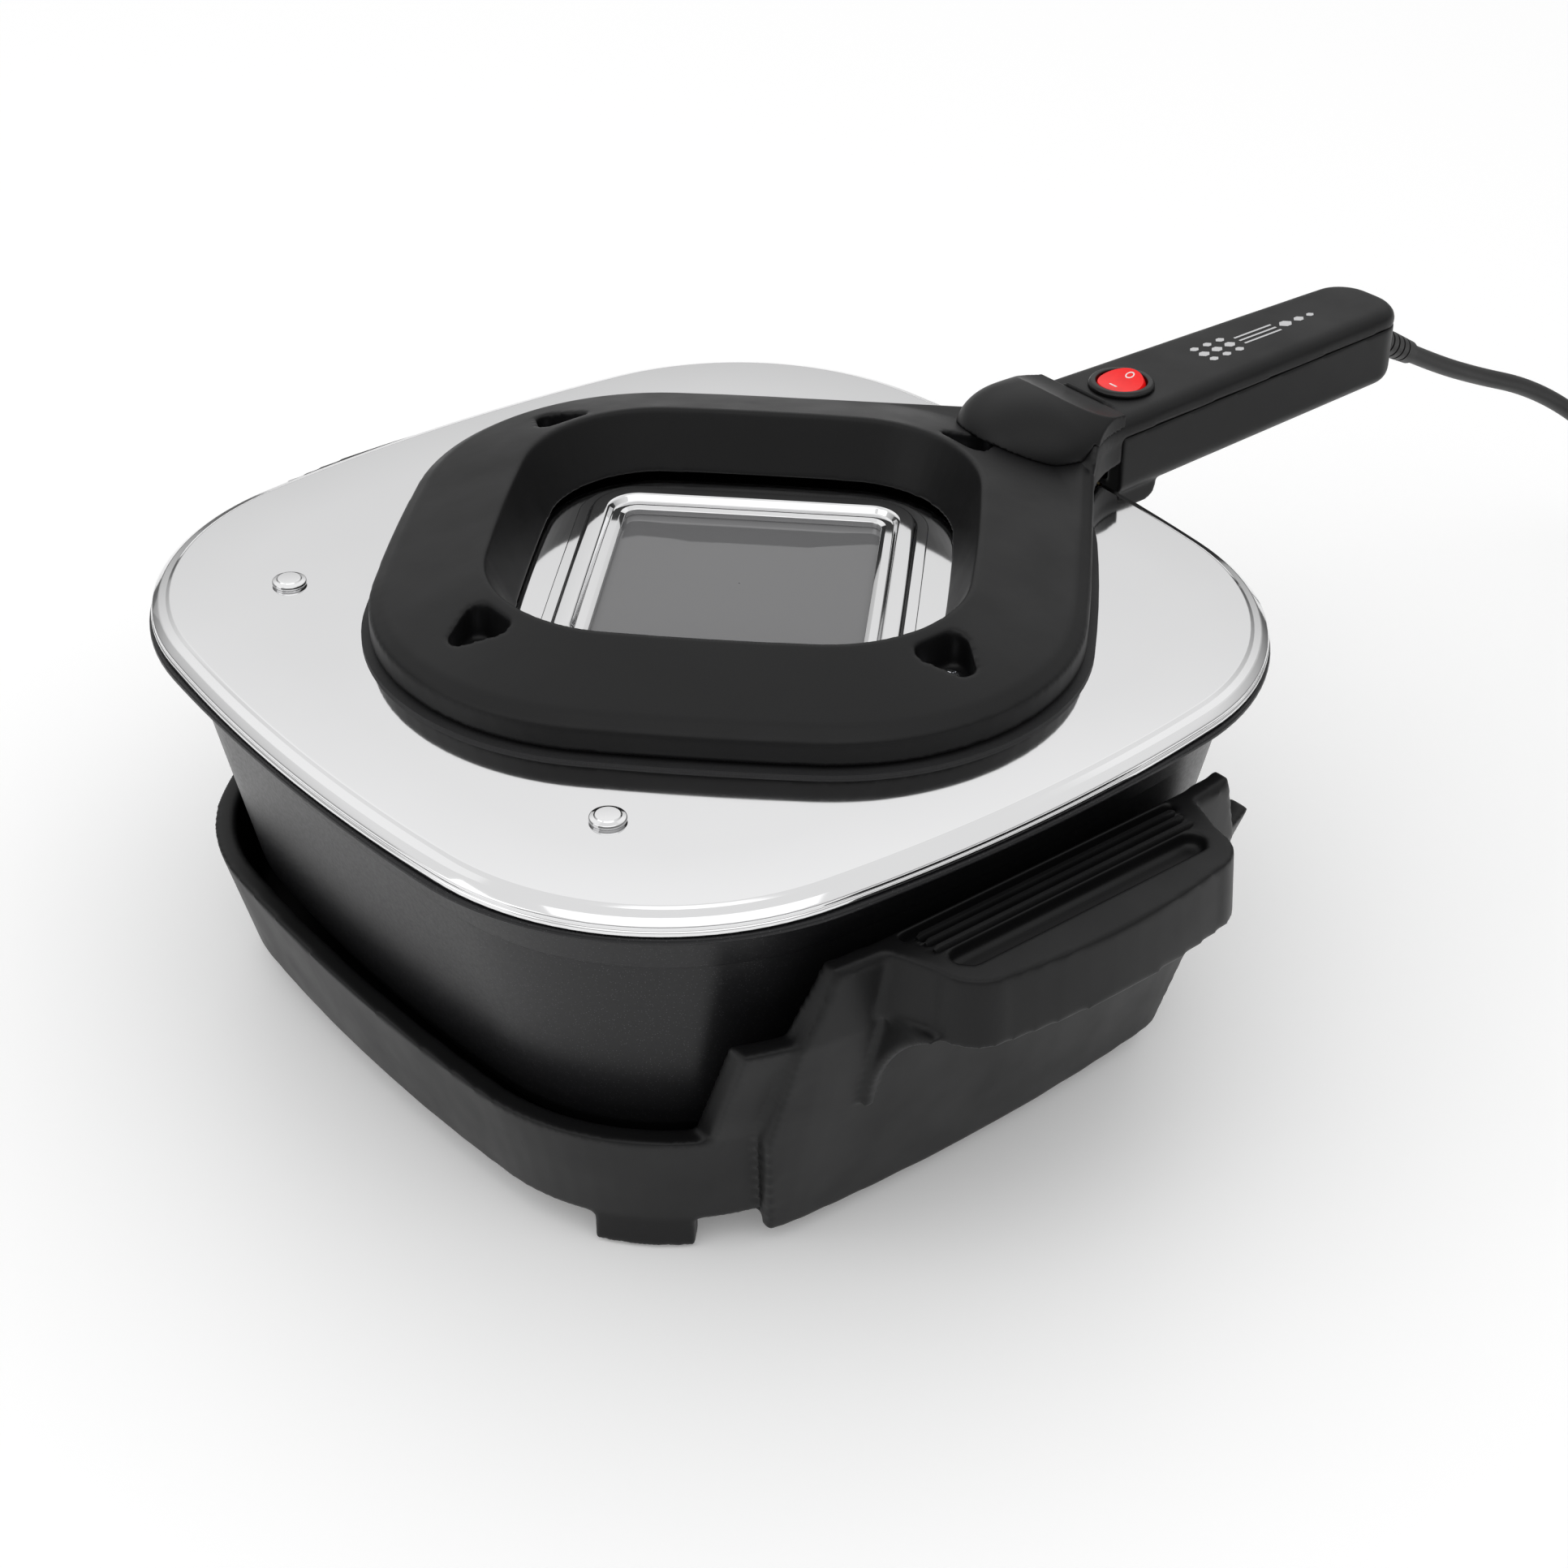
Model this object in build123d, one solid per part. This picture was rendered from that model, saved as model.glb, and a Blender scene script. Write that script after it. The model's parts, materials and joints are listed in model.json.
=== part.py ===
"""Square electric pan with a heated, windowed lid, a lift-out bowl and a plastic stand.

Millimetres. The origin is on the table under the middle of the bowl, +Z is up and +X runs
from the lid towards the end of its handle. Every piece is one node in parts/.
"""
from build123d import *
import math
import os

# ---------------------------------------------------------------- driving dimensions
# Outlines are "soft squares": four bowed sides joined by large corner arcs.
lid_half = 150.0            # half width of the lid inside its crease
lid_corner = 85.0
lid_side = 560.0            # radius of a bowed side
lid_sheet = 0.8
lid_skirt_out = 4.5         # how far the rolled edge stands out past the crease
lid_skirt_drop = 6.3
curl_size = 1.6             # thickness of the rolled edge

pan_wall = 3.0
pan_floor = 4.0
pan_under = 35.8            # height of the bowl's underside above the table
pan_depth = 93.6            # from the top of the rim to the underside
rest_gap = 0.3              # the lid's edge rests this far above the bowl's rim
pan_rim_lap = 1.0           # the rim stands out past the lid's edge by this much
pan_rim_thick = 2.4
pan_flare = 7.0             # the rim stands out past the bowl's throat by this much
pan_corner = 82.0
pan_side = 640.0
pan_step_under = 7.0        # the step under the rim band lies this far inside the lid's crease
pan_step_drop = 18.0        # from the rim's top to the step
pan_step_in = 1.4
pan_draft = 14.0            # the wall leans in by this much from the step to the base
pan_base_round = 8.0

stand_under = 1.0           # the stand's rim lies this far inside the bowl's step
stand_corner = 77.0
stand_side = 707.0
stand_rim_z = 49.0
stand_rim_wide = 7.1
stand_skirt_z = 11.4        # height of the wall's lower edge
stand_skirt_in = 9.8        # the wall leans in by this much from rim to lower edge
stand_wall = 3.0
stand_floor_z = 14.0
leg_wide = 29.5
leg_thick = 9.0
pad_gap = 0.8               # the legs end this far above the table, on their pads
pad_size = (20.0, 5.0, 5.0)
rest_pad_radius = 9.0
rest_pad_tall = 3.0
rest_at = 74.0              # the rest pads stand at plus and minus this

grip_drop = 15.4            # the side grips end this far under the bowl's rim
grip_in_half = 62.0         # half length of a grip where it leaves the wall
grip_narrow = 7.5           # a grip narrows outwards by this much on each side
grip_reach = 38.0           # how far a grip stands out from the wall
grip_tall = 22.0
grip_skin = 3.0
grip_deck = 8.0             # thickness of the grip's top
panel_past = 26.0           # the proud side panel runs on past the grip by this much
panel_foot_z = 6.0

head_x = 13.0               # middle of the cover ring and the window
ring_inside = 39.0          # the cover ring lies this far inside the lid's crease
eye_past = 25.3             # the eye opens this far outside the glass
ring_corner = 80.0
ring_side = 700.0
ring_gap = 2.0              # the cover stands this far above the lid
ring_band = 8.0             # height of the cover's upright side
ring_bevel = 3.0
ring_edge_in = 5.0
ring_crown = 9.0            # from the bevel up to the eye's edge
ring_wide = 35.7            # least distance from the cover's side to the eye
ring_eye_corner = 45.0
ring_eye_taper = 9.0
cover_wall = 2.6
spacer_out = 2.5            # the insulating ring stands out past the cover by this much
spacer_wide = 14.0
spacer_tall = 1.0
glass_half = 50.0
glass_corner = 12.0
glass_thick = 4.0
glass_hidden = 7.7          # the frame covers this much of the glass's edge
straight_side = 6000.0      # side radius of an outline that reads as straight
gasket_wall = 1.5
gasket_lip = 1.0

handle_long = 151.0         # from the handle's root to its end
handle_root_half = 21.2
handle_tip_half = 17.0
handle_clear = 7.5          # from the lid's edge to the handle's root
split_rise = 11.0           # the handle's halves meet this far above the lid
shoulder_rise = 2.5         # from there to the bevel
back_rise = 4.5             # height of the bevel
handle_bevel = 5.5
handle_deep = 23.0          # depth of the lower half
handle_wall = 2.5
stub_tall = 6.0
stub_from, stub_to = 3.0, 21.0     # ends of the stub, from the handle's root
neck_radius = 40.0
tip_radius = 13.0

switch_along = 19.0         # from the handle's root to the switch
switch_bezel_radius = 11.5
switch_body_radius = 9.9
rocker_radius = 8.6
rocker_gap = 0.35
rocker_tilt = 9.0           # degrees each side of level

screw_inside = 13.0         # from the cover's side in to the circle of its screws
pocket_radius = 14.0
pocket_floor_rise = 8.0     # above the lid
pocket_wall = 2.0

element_radius = 3.3
element_drop = 10.0         # the element's middle lies this far under the lid's panel
element_inside = 45.0        # the element runs this far inside the lid's crease
element_clear = 14.0        # and at least this far outside the corner of the window clamp
element_bend_least = 18.0
element_liner_gap = 2.0     # least distance from the element's bends to the liner
element_gap = 16.0          # the ends stand this far apart across the handle's line
terminal_rise = 9.0
terminal_inside = 22.0      # the element comes up this far inside the lid's crease

cord_radius = 3.5
gland_drop = 13.0           # the lead leaves this far under the handle's joint
gland_radius = 7.4
gland_slope = 29.0          # degrees below level
gland_long = 24.0
gland_straight = 46.0       # the lead keeps the sleeve's direction this far from the exit

handle_screws_along = (50.0, 78.0)
boss_radius = 4.2
boss_drop = 14.0            # the screw bosses meet this far under the handle's joint
clamp_along = 116.0         # the lead is clamped inside the handle here
clamp_screw_y = 9.0

hump_back = 23.0            # from the handle's root back to the hump's middle
hump_size = (25.0, 27.0, 17.0)
hump_sink = 1.0             # the hump's oval lies this far into the neck
hump_rear_long = 60.0
hump_foot_rise = 2.0        # the hump ends this far above the handle's back
saddle_radius = 45.0        # the hump's rear is hollowed by this
fence_back = 16.4           # from the switch back to the fence
fence_half = 13.0
fence_thick = 1.6
fence_rise = 3.2
fence_slot = 2.8

coil_x, coil_y = 453.5, -124.0
coil_radius = 35.0          # to the middle of the turns
coil_skin = 0.3             # the coil's solid stands this far past its turns
coil_round = 3.0
coil_turns_high = 3
lay_gap = 0.2               # the lead lies this far above the table
coil_entry_y = -88.0        # the lead meets the coil here
tie_wide = 8.0
tie_thick = 1.4
tie_bite = 1.0              # the tie sinks this far into the coil
tie_turn = 200.0
tail_x = 400.0              # the lead meets the plug here
plug_radius = 19.0
plug_boot_long = 16.0
plug_boot_radius = 6.5
plug_shoulder_long = 10.0
plug_barrel_long = 16.0
plug_barrel_radius = 17.0
plug_flange_long = 6.0
pin_radius = 2.4
pin_long = 19.0
pin_root = 6.0              # the part of a pin that is moulded in
pin_shank_radius = 1.8      # the moulded-in part is turned down
pin_apart = 19.0
touch = 0.05                # clearance round a screw or a pin
fit = 0.2                   # clearance round a piece that drops in

# ---------------------------------------------------------------- helpers


def soft_square(half, corner, side):
    """Face of a square with bowed sides: every arc runs smoothly into the next."""
    lift = side - half
    reach = side - corner
    middle = (math.sqrt(2 * reach ** 2 - lift ** 2) - lift) / 2
    px = side * middle / reach
    py = side * (middle + lift) / reach - lift
    knee = middle + corner / math.sqrt(2)
    edges = []
    for turn in range(4):
        arc_side = ThreePointArc((-px, py), (0, half), (px, py))
        arc_corner = ThreePointArc((px, py), (knee, knee), (py, px))
        edges += [Rot(0, 0, -90 * turn) * arc_side, Rot(0, 0, -90 * turn) * arc_corner]
    return make_face(edges)


def tower(family, sections, centre=0.0, turn=0.0):
    """Solid through outlines of one family; sections are (height, half width)."""
    half0, corner0, side0 = family
    faces = []
    for z, half in sections:
        grow = half - half0
        outline = soft_square(half, corner0 + grow, side0 + grow)
        faces.append(Pos(centre, 0, z) * Rot(0, 0, turn) * outline)
    return loft(faces, ruled=True)


def corner_reach(half, family):
    """Distance from the middle of an outline to its rounded corner."""
    half0, corner0, side0 = family
    lift, reach = side0 - half0, side0 - corner0
    middle = (math.sqrt(2 * reach ** 2 - lift ** 2) - lift) / 2
    return middle * math.sqrt(2) + corner0 + half - half0


def disc(radius, z0, z1, x=0.0, y=0.0):
    """Upright cylinder from z0 to z1."""
    return Pos(x, y, (z0 + z1) / 2) * Cylinder(radius, z1 - z0)


def block(x, y, z):
    """Box from three (low, high) pairs."""
    return Pos(sum(x) / 2, sum(y) / 2, sum(z) / 2) * Box(x[1] - x[0], y[1] - y[0], z[1] - z[0])


def tube(points, radii, radius):
    """Round bar along straight runs joined by tangent arcs."""
    path = FilletPolyline(*points, radius=radii)
    section = Plane(origin=path @ 0, z_dir=path % 0) * Circle(radius)
    return sweep(section, path=path)


def both_sides(shape):
    """The shape and its mirror image across the handle's line."""
    return [shape, mirror(shape, Plane.XZ)]


nodes = {}


def keep(name, *solids):
    nodes[name] = Compound(children=list(solids)) if len(solids) > 1 else solids[0]


# sizes and places that follow from the ones above
rim_top = pan_under + pan_depth
lid_edge_z = rim_top + rest_gap
lid_top = lid_edge_z + lid_skirt_drop
lid_edge_half = lid_half + lid_skirt_out
rim_half = lid_edge_half + pan_rim_lap
step_z = rim_top - pan_step_drop
pan_step_half = lid_half - pan_step_under
pan_base_half = pan_step_half - pan_draft
stand_half = pan_step_half - stand_under
grip_top = rim_top - grip_drop
grip_out_half = grip_in_half - grip_narrow
panel_half = grip_in_half + panel_past
ring_eye_half = glass_half + eye_past
ring_half = max(lid_half - ring_inside, ring_eye_half + ring_wide)
ring_low = lid_top + ring_gap
ring_shoulder = ring_low + ring_band
ring_edge = ring_shoulder + ring_bevel
ring_top = ring_edge + ring_crown
screw_ring = ring_half - screw_inside
pocket_floor_z = lid_top + pocket_floor_rise
glass_seen = glass_half - glass_hidden
handle_root_x = lid_edge_half + handle_clear
handle_end = handle_root_x + handle_long
handle_split_z = lid_top + split_rise
handle_shoulder_z = handle_split_z + shoulder_rise
handle_top_z = handle_shoulder_z + back_rise
handle_low_z = handle_split_z - handle_deep
stub_low_z = handle_low_z - stub_tall
stub_x = (handle_root_x + stub_from, handle_root_x + stub_to)
switch_x = handle_root_x + switch_along
handle_screws_x = [handle_root_x + along for along in handle_screws_along]
boss_low = handle_split_z - boss_drop
clamp_x = handle_root_x + clamp_along
gland_z = handle_split_z - gland_drop
hump_x = handle_root_x - hump_back
terminal_x = lid_half - terminal_inside
element_z = lid_top - element_drop

LID = (lid_half, lid_corner, lid_side)
PAN = (pan_step_half, pan_corner, pan_side)
STAND = (stand_half, stand_corner, stand_side)
RING = (ring_half, ring_corner, ring_side)
EYE = (ring_eye_half, ring_eye_corner, ring_side)
GLASS = (glass_half, glass_corner, straight_side)

# ---------------------------------------------------------------- stand


def make_stand():
    skirt_half = stand_half - stand_skirt_in
    lean = stand_skirt_in / (stand_rim_z - stand_skirt_z)
    outer = tower(STAND, [(stand_skirt_z, skirt_half), (stand_rim_z, stand_half)])
    inner_low = skirt_half + lean * (stand_floor_z - stand_skirt_z) - stand_wall
    under = tower(STAND, [(stand_skirt_z - 1, inner_low - 1), (stand_floor_z, inner_low)])
    floor_top = stand_floor_z + stand_wall
    hollow = tower(STAND, [(floor_top, inner_low), (stand_rim_z, stand_half - stand_rim_wide)])
    cap = tower(STAND, [(stand_rim_z, stand_half - stand_rim_wide),
                        (stand_rim_z + 1, stand_half - stand_rim_wide)])
    shell = outer - under - hollow - cap

    # side walls that rise above the rim and carry the grips
    wall_out = [(stand_rim_z, stand_half), (stand_rim_z + 40, stand_half + 14), (grip_top, stand_half + 17)]
    wall_in = [(z, half - stand_rim_wide) for z, half in wall_out]
    wall_in[2] = (grip_top, stand_half + 11.4)
    low_z, mid_z = stand_rim_z - 3, stand_rim_z + 40
    long_half = panel_half + 11.5
    front = Polyline((-long_half, low_z), (-long_half, mid_z), (3.5 - panel_half, mid_z),
                     (11.5 - panel_half, grip_top), (panel_half - 11.5, grip_top),
                     (panel_half - 3.5, mid_z), (long_half, mid_z), (long_half, low_z), close=True)
    front_face = Plane.XZ * make_face(front)
    gauge = extrude(front_face, amount=2 * stand_half, both=True)
    drop = 3 * lean
    wall_out.insert(0, (low_z, stand_half - drop))
    wall_in.insert(0, (low_z, stand_half - stand_rim_wide - drop))
    walls = (tower(STAND, wall_out) - tower(STAND, wall_in)) & gauge

    # proud panel from under the grip almost to the table
    panel_out = [(panel_foot_z, stand_half - 5), (mid_z, stand_half + 16), (grip_top - 2, stand_half + 18)]
    panel_in = [(z, half - stand_wall - 1.2) for z, half in panel_out]
    front_low = Polyline((-panel_half + 8, panel_foot_z), (-panel_half, stand_rim_z),
                         (-panel_half + 2, mid_z - 2), (-panel_half + 12, grip_top - 2),
                         (panel_half - 12, grip_top - 2), (panel_half - 2, mid_z - 2),
                         (panel_half, stand_rim_z), (panel_half - 8, panel_foot_z), close=True)
    gauge_low = extrude(Plane.XZ * make_face(front_low), amount=2 * stand_half, both=True)
    panels = (tower(STAND, panel_out) - tower(STAND, panel_in)) & gauge_low
    shell = shell + walls + panels

    # corner legs with a pocket for the rubber pad
    corner_out = tower(STAND, [(pad_gap, skirt_half - 0.6), (stand_floor_z + 1, skirt_half + 0.4)])
    corner_in = tower(STAND, [(pad_gap - 1, skirt_half - leg_thick), (stand_floor_z + 2, skirt_half - leg_thick)])
    leg_ring = corner_out - corner_in
    leg_at = corner_reach(skirt_half, STAND)
    for turn in (45, 135, 225, 315):
        gate = Rot(0, 0, turn) * block((leg_at - 4 * leg_thick, leg_at + 2 * leg_thick),
                                       (-leg_wide / 2, leg_wide / 2), (0, stand_floor_z + 1))
        shell = shell + (leg_ring & gate)
    for pad in foot_pads():
        shell = shell - pad
    for x in (-rest_at, rest_at):
        for y in (-rest_at, rest_at):
            post = disc(rest_pad_radius, floor_top - 0.5, pan_under - rest_pad_tall, x, y)
            shell = shell + post - disc(3.2, pan_under - rest_pad_tall - 8, pan_under, x, y)
    for grip in both_sides(make_grip()):
        shell = shell + grip
    for well in both_sides(grip_wells()):
        shell = shell - well
    keep("stand_shell", shell)
    keep("foot_pads", *foot_pads())
    keep("pan_rest_pads", *rest_pads())


def foot_pads():
    """Rubber blocks let into the ends of the legs."""
    long, wide, tall = pad_size
    middle = corner_reach(stand_half - stand_skirt_in, STAND) - leg_thick / 2 - 0.8
    pads = []
    for turn in (45, 135, 225, 315):
        pads.append(Rot(0, 0, turn) * block((middle - wide / 2, middle + wide / 2),
                                            (-long / 2, long / 2), (0, tall)))
    return pads


def rest_pads():
    pads = []
    for x in (-rest_at, rest_at):
        for y in (-rest_at, rest_at):
            cap = disc(rest_pad_radius, pan_under - rest_pad_tall, pan_under, x, y)
            pads.append(cap + disc(3.0, pan_under - rest_pad_tall - 6, pan_under - rest_pad_tall + 1, x, y))
    return pads


wall_y = stand_half + 9.0                   # where a grip leaves its wall
grip_y = wall_y + grip_reach


def grip_outline(inset, y_in):
    """Plan of a grip on the -Y side: it narrows outwards and its outer edge is bowed."""
    a, b, out = grip_in_half - inset, grip_out_half - inset, grip_y - inset
    r = 14.0 - inset
    corner_y = out - 3.5
    bow = ThreePointArc((-b + r, -corner_y), (0, -out), (b - r, -corner_y))
    right = ThreePointArc((b - r, -corner_y), (b - 0.28 * r, -corner_y + 0.3 * r), (b, -corner_y + r))
    left = ThreePointArc((-b, -corner_y + r), (0.28 * r - b, -corner_y + 0.3 * r), (r - b, -corner_y))
    side_r = Line((b, -corner_y + r), (a, -y_in))
    back = Line((a, -y_in), (-a, -y_in))
    side_l = Line((-a, -y_in), (-b, -corner_y + r))
    return make_face([bow, right, side_r, back, side_l, left])


def make_grip():
    low = grip_top - grip_tall
    body = loft([Pos(0, 0, low) * grip_outline(-1.5, wall_y), Pos(0, 0, grip_top) * grip_outline(0, wall_y)],
                ruled=True)
    palm = loft([Pos(0, 0, low - 1) * grip_outline(grip_skin - 1.5, wall_y - 6),
                 Pos(0, 0, grip_top - grip_deck) * grip_outline(grip_skin, wall_y - 6)], ruled=True)
    grip = body - palm
    for x in (-grip_in_half + 4, grip_in_half - 4):
        edge = ThreePointArc((wall_y - 2, low - 46), (wall_y + 8, low - 14), (wall_y + 26, low + 2))
        web = make_face([edge, Line((wall_y + 26, low + 2), (wall_y - 2, low + 2)),
                         Line((wall_y - 2, low + 2), (wall_y - 2, low - 46))])
        side = Pos(x, 0, 0) * (Plane(origin=(0, 0, 0), x_dir=(0, -1, 0), z_dir=(-1, 0, 0)) * web)
        grip = grip + extrude(side, amount=2, both=True)
    return grip


def grip_wells():
    """Long slot, a finger groove and a wide well in the top of a grip."""
    deep = grip_top - 5.0
    x = grip_in_half - 9.0
    slot = block((-x, x), (-wall_y - 5.5, -wall_y - 1.5), (deep, grip_top + 1))
    groove = block((-x + 2, x - 2), (-wall_y - 9.4, -wall_y - 7.4), (deep + 3, grip_top + 1))
    groove2 = block((-x + 2, x - 2), (-wall_y - 13.2, -wall_y - 11.2), (deep + 3, grip_top + 1))
    well_in = -wall_y - 15.5
    well_out = -grip_y + 13.0
    well_face = make_face(Polyline((-x + 1, well_in), (x - 1, well_in), (x - 8, well_out), (-x + 8, well_out),
                                   close=True))
    well = extrude(Pos(0, 0, deep) * well_face, amount=6)
    well = fillet(well.edges().filter_by(Axis.Z), 4.0)
    return slot + groove + groove2 + well


# ---------------------------------------------------------------- bowl


def make_pan():
    band = pan_step_half + pan_step_in
    neck = rim_half - pan_flare
    outer = tower(PAN, [(pan_under, pan_base_half - pan_base_round), (pan_under + 2.4, pan_base_half - 2.4),
                        (pan_under + pan_base_round, pan_base_half), (step_z, pan_step_half)])
    lip = tower(PAN, [(step_z, band), (rim_top - 4.5, neck), (rim_top - pan_rim_thick, rim_half - 1.2),
                      (rim_top - pan_rim_thick / 2, rim_half), (rim_top, rim_half - 0.8)])
    cavity = tower(PAN, [(pan_under + pan_floor, pan_base_half - pan_base_round - pan_wall + 2),
                         (pan_under + pan_floor + 3, pan_base_half - pan_wall - 1.5),
                         (step_z, pan_step_half - pan_wall), (rim_top - 3, neck - pan_wall),
                         (rim_top + 1, neck - pan_wall + 1.5)])
    keep("pan_bowl", outer + lip - cavity)


# ---------------------------------------------------------------- lid


glass_top = lid_top - lid_sheet - gasket_lip
clamp_top = glass_top - glass_thick - gasket_lip
clamp_thick = 1.0
clamp_lap = 9.0
rivet_in_x = 4.6            # a bracket rivet stands this far inside the element's run
rivet_past_bend = 2.1
liner_skirt_tall = 15.0
liner_gap = 5.0             # the locating skirt clears the bowl by this much
liner_skirt_low = lid_top - liner_skirt_tall
stud_at = glass_half + 5.0  # clamp studs, from the window's middle along its faces
element_holes = [(terminal_x, -element_gap), (terminal_x, element_gap)]
clamp_half = glass_half + clamp_lap
element_half = max(lid_half - element_inside,
                   head_x + corner_reach(clamp_half, GLASS) + element_clear + element_radius)
liner_half = rim_half - pan_flare - pan_wall - liner_gap
liner_reach = corner_reach(liner_half - lid_sheet, PAN)
square_reach = element_half * math.sqrt(2) + element_radius + element_liner_gap
element_bend = max(element_bend_least, (square_reach - liner_reach) / (math.sqrt(2) - 1))
rivet_in_y = element_bend + rivet_past_bend
rivet_at = [(rivet_in_x - element_half, side * (element_half - rivet_in_y)) for side in (-1, 1)]
cover_at = [(head_x + screw_ring * math.cos(a), screw_ring * math.sin(a))
            for a in (0, math.pi / 2, math.pi, -math.pi / 2)]


def clamp_points():
    return [(head_x + stud_at * math.cos(a), stud_at * math.sin(a))
            for a in (math.pi / 4, 3 * math.pi / 4, 5 * math.pi / 4, 7 * math.pi / 4)]


def make_lid():
    skin = tower(LID, [(lid_edge_z, lid_edge_half), (lid_top - 1.5, lid_half + 1.4), (lid_top, lid_half)])
    inside = tower(LID, [(lid_edge_z - 1, lid_edge_half - lid_sheet + 0.4),
                         (lid_edge_z, lid_edge_half - lid_sheet), (lid_top - 1.5, lid_half + 0.6),
                         (lid_top - lid_sheet, lid_half - 0.4)])
    curl = tower(LID, [(lid_edge_z, lid_edge_half), (lid_edge_z + curl_size, lid_edge_half)])
    curl = curl - tower(LID, [(lid_edge_z - 1, lid_edge_half - curl_size),
                              (lid_edge_z + curl_size + 1, lid_edge_half - curl_size)])
    lid = skin - inside + curl
    lid = lid - tower(GLASS, [(lid_top - 3, glass_seen + 1), (lid_top + 1, glass_seen + 1)], head_x, 45)
    for x, y in rivet_at:
        lid = lid - disc(2.1, lid_top - 3, lid_top + 1, x, y)
    for x, y in element_holes:
        lid = lid - disc(5.1, lid_top - 3, lid_top + 1, x, y)
    keep("lid_shell", lid)

    under = lid_top - lid_sheet
    skirt_half = liner_half
    sheet = tower(PAN, [(liner_skirt_low, skirt_half - 2), (under, skirt_half)])
    bowl = tower(PAN, [(liner_skirt_low - 1, skirt_half - lid_sheet - 2), (under - lid_sheet, skirt_half - lid_sheet)])
    liner = sheet - bowl
    liner = liner - tower(GLASS, [(under - 3, glass_half + 3), (under + 1, glass_half + 3)], head_x, 45)
    for x, y in rivet_at:
        liner = liner - disc(2.1, under - 3, under + 1, x, y)
    for x, y in element_holes:
        liner = liner - disc(5.1, under - 3, under + 1, x, y)
    for x, y in clamp_points():
        liner = liner - disc(2.4, under - 3, under + 1, x, y)
    keep("lid_liner", liner)


def make_window():
    frame_low = lid_top
    bead_half = glass_seen + 8.0
    plate = tower(GLASS, [(frame_low, glass_seen + 16), (frame_low + 1, glass_seen + 16)], head_x, 45)
    bead = tower(GLASS, [(frame_low + 1, bead_half + 3), (frame_low + 2.6, bead_half + 1.6),
                         (frame_low + 3.2, bead_half)], head_x, 45)
    bead_in = tower(GLASS, [(frame_low + 1, bead_half - 5), (frame_low + 2.6, bead_half - 3.6),
                            (frame_low + 3.4, bead_half - 1.8)], head_x, 45)
    lip = tower(GLASS, [(glass_top, glass_seen + 0.9), (frame_low + 1, glass_seen + 0.9)], head_x, 45)
    eye = tower(GLASS, [(glass_top - 1, glass_seen), (frame_low + 5, glass_seen)], head_x, 45)
    keep("window_frame", plate + (bead - bead_in) + lip - eye)

    glass = tower(GLASS, [(glass_top - glass_thick, glass_half), (glass_top, glass_half)], head_x, 45)
    keep("window_glass", glass)
    gasket = tower(GLASS, [(clamp_top, glass_half + gasket_wall),
                           (glass_top + gasket_lip, glass_half + gasket_wall)], head_x, 45)
    gasket = gasket - tower(GLASS, [(clamp_top - 1, glass_seen + 2.2),
                                    (lid_top, glass_seen + 2.2)], head_x, 45) - glass
    keep("window_gasket", gasket)

    clamp = tower(GLASS, [(clamp_top - clamp_thick, clamp_half), (clamp_top, clamp_half)], head_x, 45)
    clamp = clamp - tower(GLASS, [(clamp_top - 2, glass_seen + 1), (clamp_top + 1, glass_seen + 1)], head_x, 45)
    studs, nuts = [], []
    for x, y in clamp_points():
        stud = disc(1.5, clamp_top - 4.4, lid_top - lid_sheet, x, y)
        studs.append(stud)
        clamp = clamp - disc(1.7, clamp_top - 2, clamp_top + 1, x, y)
        nut = extrude(Pos(x, y, clamp_top - clamp_thick - 2.4) * RegularPolygon(3.1, 6), amount=2.4)
        nuts.append(nut - disc(1.5 + touch, clamp_top - 6, clamp_top, x, y))
    keep("window_clamp", clamp)
    keep("window_studs", *studs)
    keep("window_nuts", *nuts)


def make_element():
    """Tubular heating element: one loop under the lid, both ends up through the neck."""
    x, y, z, half = terminal_x, element_gap, element_z, element_half
    up = lid_top + terminal_rise
    points = [(x, -y, up), (x, -y, z), (half, -y - 24, z), (half, -half, z), (-half, -half, z), (-half, half, z),
              (half, half, z), (half, y + 24, z), (x, y, z), (x, y, up)]
    bends = [8, element_bend, element_bend, element_bend, element_bend, element_bend, element_bend, 8]
    keep("heating_element", tube(points, bends, element_radius))
    bushes = []
    for bx, by in element_holes:
        bush = disc(5.0, lid_top - 1.6, lid_top + 5.0, bx, by) + disc(7.0, lid_top, lid_top + 2.5, bx, by)
        bushes.append(bush - disc(element_radius + touch, lid_top - 6, lid_top + 8, bx, by))
    keep("element_bushes", *bushes)

    rivets, brackets = [], []
    plate_top = lid_top - 2 * lid_sheet
    for rx, ry in rivet_at:
        head = disc(5.5, lid_top, lid_top + 2.4, rx, ry)
        head = chamfer(head.edges().group_by(Axis.Z)[-1], 0.6)
        rivets.append(head + disc(2.0, plate_top - 2.6, lid_top + 0.5, rx, ry)
                      + disc(3.4, plate_top - 2.8, plate_top - 1.2, rx, ry))
        ring_y = ry - math.copysign(14, ry)
        strap = block((-element_half - 5, rx + 6), (min(ry, ring_y) - 5, max(ry, ring_y) + 5),
                      (plate_top - 1.2, plate_top)) - disc(2.0 + touch, plate_top - 3, plate_top + 1, rx, ry)
        clip = Pos(-element_half, ring_y, element_z) * Rot(90, 0, 0) * Cylinder(element_radius + 1.3, 8)
        stem = block((-element_half - 3, -element_half + 3), (ring_y - 4, ring_y + 4), (element_z, plate_top - 1.2))
        bore = Pos(-element_half, ring_y, element_z) * Rot(90, 0, 0) * Cylinder(element_radius + fit, 12)
        brackets.append(strap + clip + stem - bore)
    keep("bracket_rivets", *rivets)
    keep("element_brackets", *brackets)


# ---------------------------------------------------------------- cover, handle and switch

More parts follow.
